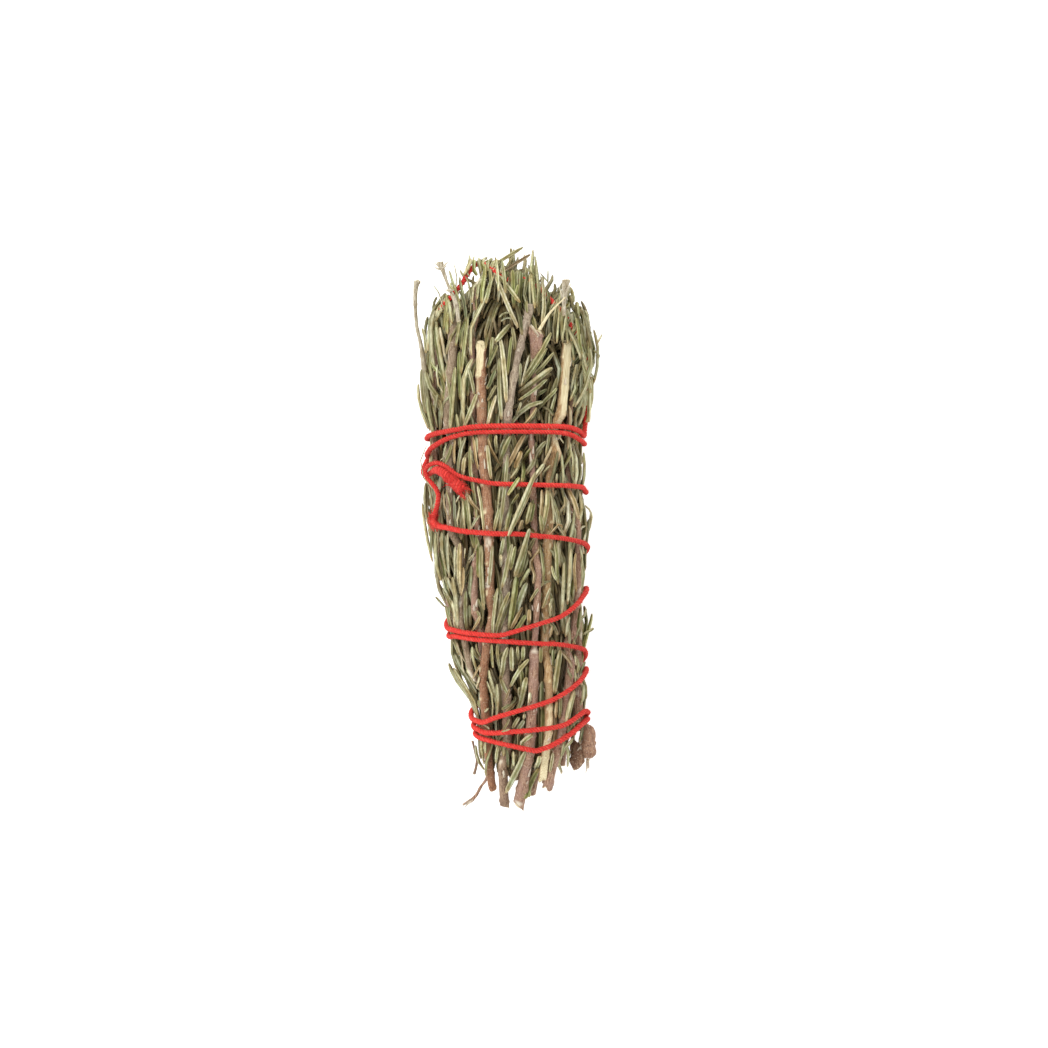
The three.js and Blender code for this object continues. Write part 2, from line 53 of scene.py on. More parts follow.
# %% [markdown]
# ## The shape of the bundle
# The bundle is a bent, tapering roll, thickest near the leaf tips. A place in it is easiest to
# think of as an angle round it (0 is the top, 90 the +X side), a distance y along it, and an
# inset, the depth below its outer skin. One function turns such a place into a point, and another
# finds the place of a point. The rows are the ones that the model was drawn from.

# %% Places in the bundle
# y, middle in x, half width, middle in z
OUTLINE = np.array([
    [-92, 3.0, 10.5, 11.5],
    [-80, 5.5, 15.0, 13.2],
    [-62, 6.6, 19.2, 16.0],
    [-33, 2.3, 22.8, 19.1],
    [-3, 0.2, 25.7, 21.4],
    [30, -1.2, 26.1, 21.9],
    [55, 0.0, 27.0, 22.6],
    [68, -0.5, 24.5, 22.6],
    [76, -0.5, 20.5, 22.4],
    [83, 0.0, 15.5, 22.0],
    [90, 0.5, 9.0, 21.6],
])
HEIGHT_SHARE = 0.9  # half height as a share of half width
CENTRE = np.array([-1.6, -0.5, 0.0])
FLOOR_CLEARANCE = 0.2


def read_rows(rows, at, column):
    """A smooth curve through one column: two eased ends of each span plus the pull of their slopes."""
    at = np.clip(at, rows[0, 0], rows[-1, 0])
    i = np.clip(np.searchsorted(rows[:, 0], at, side="right") - 1, 0, len(rows) - 2)
    places = np.arange(len(rows))
    before = np.maximum(places - 1, 0)
    after = np.minimum(places + 1, len(rows) - 1)
    slope = (rows[after, column] - rows[before, column]) / (rows[after, 0] - rows[before, 0])
    span = rows[i + 1, 0] - rows[i, 0]
    t = (at - rows[i, 0]) / span
    ease = t * t * (3 - 2 * t)
    value = rows[i, column] * (1 - ease) + rows[i + 1, column] * ease
    return value + span * t * (1 - t) * ((1 - t) * slope[i] - t * slope[i + 1])


def outline_at(y):
    """Middle x, middle z and half width of the bundle at y, in the frame's own place."""
    return (
        read_rows(OUTLINE, y + CENTRE[1], 1) - CENTRE[0],
        read_rows(OUTLINE, y + CENTRE[1], 3) - CENTRE[2],
        read_rows(OUTLINE, y + CENTRE[1], 2),
    )


def bundle_point(angle, y, inset):
    """An ellipse round the middle line, smaller by the inset, and flattened where it meets the floor."""
    middle_x, middle_z, half = outline_at(y)
    turn = np.radians(angle)
    x = middle_x + (half - inset) * np.sin(turn)
    z = middle_z + (HEIGHT_SHARE * half - inset) * np.cos(turn)
    z = np.maximum(z, np.maximum(inset, FLOOR_CLEARANCE))
    return np.stack(np.broadcast_arrays(x, y, z), -1)


def bundle_place(points):
    """The angle and inset of points: the inset from the last angle, then the angle again, a few times."""
    middle_x, middle_z, half = outline_at(points[..., 1])
    dx = points[..., 0] - middle_x
    dz = points[..., 2] - middle_z
    inset = np.zeros_like(dx)
    for _ in range(6):
        turn = np.arctan2(dx / (half - inset), dz / (HEIGHT_SHARE * half - inset))
        inset = half - np.hypot(dx, dz + (1 - HEIGHT_SHARE) * half * np.cos(turn))
        inset = np.minimum(inset, 0.8 * HEIGHT_SHARE * half)
    return np.degrees(turn), inset


def outward(points):
    """Unit directions away from the bundle's middle line, square to y."""
    middle_x, middle_z, _ = outline_at(points[..., 1])
    away = np.stack([points[..., 0] - middle_x, 0 * middle_x, points[..., 2] - middle_z], -1)
    return away / np.maximum(np.linalg.norm(away, axis=-1, keepdims=True), 1e-6)


there = bundle_point(np.array([40.0]), np.array([10.0]), np.array([3.0]))
print("a place and back again:", bundle_place(there), "at", there)

# %% [markdown]
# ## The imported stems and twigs
# Each stem of the model is a plain rod whose rings lie square to y. Reading those rings back
# gives its middle line and thickness, so the detailed stems grow exactly where the model has them.

# %% Reading a rod of the model


def rod_rows(node):
    """[y, x, z, radius] at each ring of a rod: the middle and half the width of the points at one y."""
    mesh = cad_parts[node].data
    points = np.empty(len(mesh.vertices) * 3, np.float32)
    mesh.vertices.foreach_get("co", points)
    points = points.reshape(-1, 3) / MM
    y, ring = np.unique(np.round(points[:, 1], 2), return_inverse=True)
    low = np.full((len(y), 3), np.inf)
    high = -low
    np.minimum.at(low, ring, points)
    np.maximum.at(high, ring, points)
    middle = (low + high) / 2
    return np.column_stack([y, middle[:, 0], middle[:, 2], (high[:, 0] - low[:, 0]) / 2])


# the stretches of y where a stem is seen bare; elsewhere it lies deeper, with leaves over it
SHOWN = {
    "left_thick_sprig": [(-47, -22), (-2, 26), (31, 73)],
    "left_slender_sprig": [(-27, -9), (72, 81)],
    "long_middle_sprig": [(-84, -30), (-22, 62)],
    "grey_middle_sprig": [(-90, -72), (35, 73)],
    "thick_cut_sprig": [(-90, -9), (58, 66)],
    "split_sprig": [(-80, -41), (23, 27), (36, 62)],
    "right_slender_sprig": [(-84, -40), (-33, 5)],
}
SINK = 2.6


def shown_share(sprig, y):
    """1 where a stem is seen bare, 0 where it is covered, with a slope of 5 mm between."""
    shares = [np.interp(y, [low - 3, low + 2, high - 2, high + 3], [0, 1, 1, 0])
              for low, high in SHOWN.get(sprig, [(-200, 200)])]
    return np.max(shares, axis=0)


def sunk(sprig, rows):
    """The stem's rows, resampled every millimetre, with the covered stretches SINK deeper in the bundle."""
    y = np.arange(rows[0, 0], rows[-1, 0] + 0.5, 1.0).clip(rows[0, 0], rows[-1, 0])
    x, z, radius = (np.interp(y, rows[:, 0], column) for column in rows.T[1:])
    angle, inset = bundle_place(np.column_stack([x, y, z]))
    deeper = bundle_point(angle, y, inset + SINK * (1 - shown_share(sprig, y)))
    return np.column_stack([y, deeper[:, 0], deeper[:, 2], radius])


SPRIGS = sorted(name[: -len("_stem")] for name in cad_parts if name.endswith("_stem"))
stems = {sprig: sunk(sprig, rod_rows(sprig + "_stem")) for sprig in SPRIGS}
print(len(stems), "stems, from", min(r[0, 0] for r in stems.values()), "mm to",
      max(r[-1, 0] for r in stems.values()), "mm")

# %% [markdown]
# ## One way to make every piece
# Leaves, stems, yarn and fibres are all closed skins over rings of points. A whole set of them is
# one array: which shape, which ring, which side, and x, y, z. The faces follow from the places in
# that array, and so does a flat map in which every shape has a cell of its own.

# %% Skins over rings of points
CELL_EDGE = 0.08  # the margin on each side of a cell of the flat map


def skin_faces(shapes, rings, sides):
    """Four-sided faces between neighbouring rings, then one many-sided face at each end of a shape."""
    n, k, j = np.meshgrid(*[np.arange(m) for m in (shapes, rings - 1, sides)], indexing="ij")
    corner_ring = np.stack([k, k, k + 1, k + 1], -1)
    corner_side = np.stack([j, j + 1, j + 1, j], -1)
    walls = (n[..., None] * rings + corner_ring) * sides + corner_side % sides
    first = np.arange(shapes)[:, None] * rings * sides
    starts = first + np.arange(sides)[::-1]
    ends = first + (rings - 1) * sides + np.arange(sides)
    return walls.reshape(-1, 4), np.concatenate([starts, ends])


def skin_map(shapes, rings, sides, chunks, tall):
    """Flat-map corners: each shape is cut into chunks, and each chunk is one upright cell of a grid."""
    cells = shapes * chunks
    columns = int(np.ceil(np.sqrt(cells * tall)))
    rows = int(np.ceil(cells / columns))
    per_chunk = int(np.ceil((rings - 1) / chunks))
    n, k, j = np.meshgrid(*[np.arange(m) for m in (shapes, rings - 1, sides)], indexing="ij")
    cell = (n * chunks + k // per_chunk)[..., None]
    across = np.stack([j, j + 1, j + 1, j], -1) / sides
    along = (np.stack([k, k, k + 1, k + 1], -1) - k[..., None] // per_chunk * per_chunk) / per_chunk
    inner = 1 - 2 * CELL_EDGE
    walls = np.stack([
        (cell % columns + CELL_EDGE + inner * across) / columns,
        (cell // columns + CELL_EDGE + inner * along) / rows,
    ], -1).reshape(-1, 2)
    bow = np.sin(np.pi * np.arange(sides) / (sides - 1)) * 0.7 * CELL_EDGE
    reach = CELL_EDGE + inner * np.arange(sides) / (sides - 1)
    caps = []
    for cell, edge, way in ((np.arange(shapes) * chunks, 0.9 * CELL_EDGE, -1),
                            (np.arange(shapes) * chunks + chunks - 1, 1 - 0.9 * CELL_EDGE, 1)):
        u = (cell[:, None] % columns + reach) / columns
        v = (cell[:, None] // columns + edge + way * bow) / rows
        caps.append(np.stack([u, v], -1).reshape(-1, 2))
    return walls, np.concatenate(caps)


def skin(rings, chunks=1, tall=5.0, **attributes):
    """A set of shapes: rings of points with what each point says to the material."""
    return {"rings": np.asarray(rings, float), "chunks": chunks, "tall": tall, "says": attributes}


walls, caps = skin_faces(2, 3, 4)
print("two shapes of three rings:", len(walls), "walls and", len(caps), "ends")

# %% One piece from many skins


def make_mesh(name, skins):
    """Puts skins side by side in one mesh and one flat map, in bands as wide as their share of points."""
    points, sizes, corners, flat = [], [], [], []
    share = np.cumsum([0] + [np.sqrt(s["rings"].size) for s in skins])
    share /= share[-1]
    start = 0
    for i, one in enumerate(skins):
        shapes, rings, sides = one["rings"].shape[:3]
        walls, caps = skin_faces(shapes, rings, sides)
        wall_map, cap_map = skin_map(shapes, rings, sides, one["chunks"], one["tall"])
        points.append(one["rings"].reshape(-1, 3))
        corners += [walls.ravel() + start, caps.ravel() + start]
        sizes += [np.full(len(walls), 4), np.full(len(caps), sides)]
        band = np.array([share[i + 1] - share[i], 1.0])
        flat += [wall_map * band + [share[i], 0], cap_map * band + [share[i], 0]]
        start += shapes * rings * sides
    points = np.concatenate(points)
    sizes = np.concatenate(sizes)
    corners = np.concatenate(corners)
    mesh = bpy.data.meshes.new(name)
    mesh.vertices.add(len(points))
    mesh.vertices.foreach_set("co", (points * MM).astype(np.float32).ravel())
    mesh.loops.add(len(corners))
    mesh.loops.foreach_set("vertex_index", corners.astype(np.int32))
    mesh.polygons.add(len(sizes))
    mesh.polygons.foreach_set("loop_start", np.concatenate([[0], np.cumsum(sizes)[:-1]]).astype(np.int32))
    mesh.polygons.foreach_set("use_smooth", np.ones(len(sizes), bool))
    mesh.uv_layers.new(name="OFBake").data.foreach_set("uv", np.concatenate(flat).astype(np.float32).ravel())
    mesh.update(calc_edges=True)
    for word in sorted({word for one in skins for word in one["says"]}):
        values = [
            np.broadcast_to(one["says"].get(word, np.zeros(3)), one["rings"].shape).reshape(-1, 3)
            for one in skins
        ]
        layer = mesh.attributes.new(word, "FLOAT_VECTOR", "POINT")
        layer.data.foreach_set("vector", np.concatenate(values).astype(np.float32).ravel())
    mesh.validate()
    return mesh


def add_piece(name, skins, material, replaced=()):
    """Makes the piece, gives it its finish, and lets it ride on the root in place of model nodes."""
    piece = bpy.data.objects.new(name, make_mesh(name, skins))
    scene.collection.objects.link(piece)
    piece.data.materials.append(material)
    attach(piece, "root")
    if replaced:
        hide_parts(*replaced)
    return piece


# %% [markdown]
# ## Lines, frames and soft randomness
# A stem, a ply of yarn and a fibre each follow a line. At each of its points the shape needs two
# directions square to the line: one that starts from a direction we choose, and one across it.
# Bark and fibres also need unevenness that is smooth and the same on every run. A sum of a few
# waves with random directions gives that.

# %% Lines and frames


def unit(vectors):
    """Vectors scaled to length one."""
    return vectors / np.maximum(np.linalg.norm(vectors, axis=-1, keepdims=True), 1e-9)


def line_frames(line, wanted):
    """Tangent, normal and side at each point: the wanted direction made square to the line is the normal."""
    tangent = unit(np.gradient(line, axis=-2))
    normal = unit(wanted - (wanted * tangent).sum(-1, keepdims=True) * tangent)
    return tangent, normal, np.cross(normal, tangent)


def turned(normal, side, turn):
    """Normal and side turned round the line by an angle in radians."""
    c, s = np.cos(turn)[..., None], np.sin(turn)[..., None]
    return normal * c + side * s, side * c - normal * s


def spline(points, per_span):
    """A Catmull-Rom curve: each span is a cubic whose end slopes are half the step between neighbours."""
    points = np.asarray(points, float)
    ends = 2 * points[[0, -1]] - points[[1, -2]]
    held = np.concatenate([ends[:1], points, ends[1:]])
    t = np.linspace(0, 1, per_span, endpoint=False)[:, None]
    a, b, c, d = (held[i:len(held) - 3 + i, None] for i in range(4))
    curve = b + 0.5 * t * (c - a + t * (2 * a - 5 * b + 4 * c - d + t * (3 * b - a + d - 3 * c)))
    return np.concatenate([curve.reshape(-1, points.shape[1]), points[-1:]])


def even_line(line, step):
    """The same line with points an even step apart, and the length run at each."""
    run = np.concatenate([[0], np.cumsum(np.linalg.norm(np.diff(line, axis=0), axis=1))])
    at = np.linspace(0, run[-1], max(int(round(run[-1] / step)), 2) + 1)
    return np.column_stack([np.interp(at, run, line[:, i]) for i in range(line.shape[1])]), at


def waves(seed, count, *coordinates):
    """A sum of sine waves of random direction and phase over the coordinates, about -1 to 1."""
    rng = np.random.default_rng(seed)
    total = 0
    for _ in range(count):
        pulls = rng.normal(0, 1, len(coordinates))
        phase = rng.uniform(0, 2 * np.pi)
        total = total + np.sin(sum(p * c for p, c in zip(pulls, coordinates)) + phase)
    return total * np.sqrt(2 / count) * 0.5


def smooth(low, high, value):
    """0 below low, 1 above high, and an S-shaped rise between."""
    t = np.clip((value - low) / (high - low), 0, 1)
    return t * t * (3 - 2 * t)


def tube_rings(line, radius, sides, wanted):
    """Rings of points round a line: normal and side weighted by the sine and cosine of even turns."""
    _, normal, side = line_frames(line, wanted)
    turn = 2 * np.pi * np.arange(sides) / sides
    radius = np.broadcast_to(radius, line.shape[:-1])[..., None, None]
    spokes = side[..., None, :] * np.cos(turn)[:, None] + normal[..., None, :] * np.sin(turn)[:, None]
    return line[..., None, :] + radius * spokes


print("waves range over", waves(1, 8, np.linspace(0, 90, 500)).min().round(2), "to",
      waves(1, 8, np.linspace(0, 90, 500)).max().round(2))

# %% [markdown]
# ## The route of the yarn
# One length of red wool is wound round the sprigs. It starts at a frayed tuft on the left, loops
# over the leaf tips, is hitched on the left side, and then winds down to the cut ends. The rows
# are the model's own: angle, y, and an inset where the yarn doesn't lie in the outer skin. The
# angle runs on past a full turn, so each pass over the top is 360 from the next.

# %% The yarn's line
YARN_RADIUS = 0.82
TIP_LOOP = [
    [-33, 13, 0.2], [-38, 15, -0.2], [-44, 17, -0.4], [-51, 18.7, -0.3], [-59, 19.4, 0.1],
    [-68, 18.8, 0.6], [-80, 18, 0.2], [-95, 19, -0.8], [-110, 22.5, -1.2], [-122, 27.5, -1.1],
    [-126, 32.5, -1], [-124, 42, 0], [-110, 54, 0.2], [-100, 62, 1], [-92, 68.5, 2.2],
    [-69.6, 73, 1.5], [-63.4, 76.2, 1.5], [-59.2, 78.7, 1.6], [-63, 82.6, 1.4], [-64, 85, 1.6],
    [-56, 85.9, 2.4], [-29, 83.5, 3.4], [-6, 80.3, 5.5], [14, 79.4, 5.6], [24.5, 80.3, 4.4],
    [33, 79, 4.2], [41, 76.5, 4.2], [54, 70, 3], [68, 62, 2.6], [80, 54, 2], [90, 43, 1.2],
]
UPPER_WRAPS = [
    [85, 31], [64, 32.1], [48, 33], [18, 33.1], [-8, 33.1], [-26, 32.8], [-41, 31.9], [-76, 30.3],
    [-95, 29.6], [-180, 30], [-265, 27.9], [-288, 28.9], [-312, 31], [-346, 31.35], [-383, 31.1],
    [-398, 30.1], [-411, 28.8], [-422, 27.3], [-432, 26.2], [-452, 24.2], [-540, 19], [-625, 12.6],
    [-648, 13.9], [-673, 14.4], [-689, 14.5], [-708, 14.7], [-729, 15], [-744, 16.2], [-752, 16.9],
]
HITCH = [
    [-759, 18, 0.6], [-768, 20.4, 0.4], [-777, 21.6, 0.2], [-787, 21, -0.6], [-792, 19.2, -1.1],
    [-790, 16.9, -0.9], [-784, 14.4, 0.2], [-781, 11.9], [-782, 9.3], [-787, 6.2], [-792, 4.3],
    [-791.5, 2.5], [-783, 1.5],
]
LOWER_WRAPS = [
    [-771, 1], [-756, 0], [-731, -0.8], [-715, -0.9], [-697, -1.6], [-680, -2.2], [-661, -3.2],
    [-640, -4.6], [-615, -7], [-540, -19], [-455, -29.8], [-422, -31.7], [-396, -32.65], [-375, -33],
    [-365, -32.2], [-356, -31.2], [-340, -29.4], [-319, -27], [-299, -23.2], [-284, -20.3],
    [-264, -18.5], [-235, -20.6], [-180, -26.5], [-95, -33.3], [-62, -33.6], [-36, -34.4],
    [-16, -34.85], [3, -35.3], [21, -35.7], [34, -35.9], [50, -36.6], [75, -37.9], [90, -39.4],
    [180, -50], [265, -59], [294, -60.8], [308, -61], [324, -59.5], [346, -57.5], [367, -55.5],
    [386, -53.4], [413, -49.2], [431, -46.4], [448, -44.6], [472, -45.4], [540, -56], [622, -62.2],
    [650, -63.4], [662, -64.3], [680, -64.4], [704, -63.8], [732, -63], [747, -62.4], [759, -61.5],
    [777, -59], [791, -57.8], [810, -58.4], [900, -63], [982, -64.9], [1000, -65.6], [1012, -66.2],
    [1030, -66.9], [1050, -67.9], [1064, -68.7], [1077, -69.5], [1086, -70], [1095, -69.3],
    [1105, -68.1], [1127, -64.6], [1144, -61.8], [1168, -60.4], [1200, -62], [1232, -64.4],
]
DEGREES_TO_MM = 0.4  # evens out the three values while the curve is drawn
YARN_STEP = 0.42


def yarn_line():
    """A smooth curve through the rows in angle, y and inset, then turned into points."""
    rows = [row if len(row) == 3 else row + [YARN_RADIUS]
            for row in TIP_LOOP + UPPER_WRAPS + HITCH + LOWER_WRAPS]
    curve = spline(np.array(rows) * [DEGREES_TO_MM, 1, 1], 24)
    curve[:, 1] -= CENTRE[1]
    return even_line(bundle_point(curve[:, 0] / DEGREES_TO_MM, curve[:, 1], curve[:, 2]), YARN_STEP)


yarn, yarn_run = yarn_line()
print("yarn:", round(yarn_run[-1]), "mm long,", len(yarn), "points")

# %% [markdown]
# ## How leaves grow
# Rosemary leaves stand in pairs, with smaller ones in their axils. In a bound bundle they are
# pressed forward along their stem, leave it at its sides, fan out a little, and end beside the
# next stem. Each leaf is first drawn as a line of points from the side of its stem to its tip.

# %% Drawing the leaves of a sprig
LEAF_POINTS = 10
ALONG = np.linspace(0, 1, LEAF_POINTS)
NODE_STEP = 3.1
CROWN_LEAVES = 30  # the tuft past the end of a stem
rng = np.random.default_rng(11)


def place_rows(sprig):
    """A stem's rows as [y, angle, inset, radius], with an angle that doesn't jump."""
    y, x, z, radius = stems[sprig].T
    angle, inset = bundle_place(np.column_stack([x, y, z]))
    return np.column_stack([y, np.degrees(np.unwrap(np.radians(angle))), inset, radius])


def leaf_lines(rows, base, around, length, fan, tip_inset, bow):
    """Points from the stem's skin to the tip: the sideways offset and the inset both ease to the tip's."""
    y = base[:, None] + length[:, None] * ALONG
    radius = read_rows(rows, base, 3)
    start = read_rows(rows, base, 2) - radius * np.cos(around)
    sideways = (radius * np.sin(around))[:, None] + fan[:, None] * ALONG ** 0.7
    sideways += bow[:, None] * np.sin(np.pi * ALONG)
    inset = start[:, None] + (tip_inset - start)[:, None] * ALONG ** 0.6
    arc = np.maximum(outline_at(y)[2] * (1 + HEIGHT_SHARE) / 2 - inset, 3)
    return bundle_point(read_rows(rows, y, 1) + np.degrees(sideways / arc), y, inset)


def sprig_leaves(sprig):
    """Two long and two short leaves at each node, and a tuft of leaves past the end of the stem."""
    rows = place_rows(sprig)
    cut, top = rows[0, 0], rows[-1, 0]
    leaf_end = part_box(sprig + "_leaves")[1].y / MM
    nodes = np.arange(cut + 9, top - 1, NODE_STEP)
    crown = np.linspace(top - 6, leaf_end - 12, CROWN_LEAVES)
    base = np.concatenate([np.repeat(nodes, 4), crown]) + rng.normal(0, 0.7, 4 * len(nodes) + len(crown))
    count = len(base)
    is_crown = np.arange(count) >= 4 * len(nodes)
    side = np.where(np.arange(count) % 2, 1.0, -1.0)
    is_short = (np.arange(count) % 4 > 1) & ~is_crown
    length = np.where(is_short, rng.uniform(7, 13, count), rng.uniform(14, 20, count))
    length = np.where(is_crown, rng.uniform(12, 20, count), length)
    length = np.minimum(length, leaf_end + rng.normal(0, 2.0, count) - base)
    hidden = (shown_share(sprig, base + 4) < 0.5) | is_crown
    around = side * np.radians(np.where(hidden, rng.uniform(5, 140, count), rng.uniform(65, 150, count)))
    fan = side * rng.uniform(0.8, 5.5, count) * np.where(is_crown | hidden, 0.6, 1)
    stands_out = rng.random(count) < 0.10
    tip_inset = np.where(stands_out, rng.uniform(-2.0, 0.8, count), rng.uniform(0.9, 5.0, count))
    return leaf_lines(rows, base, around, np.maximum(length, 6), fan, tip_inset, rng.normal(0, 0.7, count))


OUTER = [sprig for sprig in SPRIGS if not sprig.startswith("inner")]
INNER = [sprig for sprig in SPRIGS if sprig.startswith("inner")]
grown = [sprig_leaves(sprig) for sprig in OUTER]
leaf_sprig = np.repeat(np.arange(len(OUTER)), [len(part) for part in grown])
grown = np.concatenate(grown)
print("leaves on the outer sprigs:", len(grown))

# %% [markdown]
# ## The leaves on top
# The leaves that lie on top of the bundle are laid one by one, because they are what the eye
# reads first: how they cross, which are broad, and which stems they leave bare. A row gives the
# foot and the tip (x, y), the width, and the tone's letter, with a layer after it if it isn't the top
# one: 1 lies under that, and -1 runs over the yarn. A last number is how far the middle bulges
# towards +X. A few leaves and straws bend more than once, so they have a row of points.

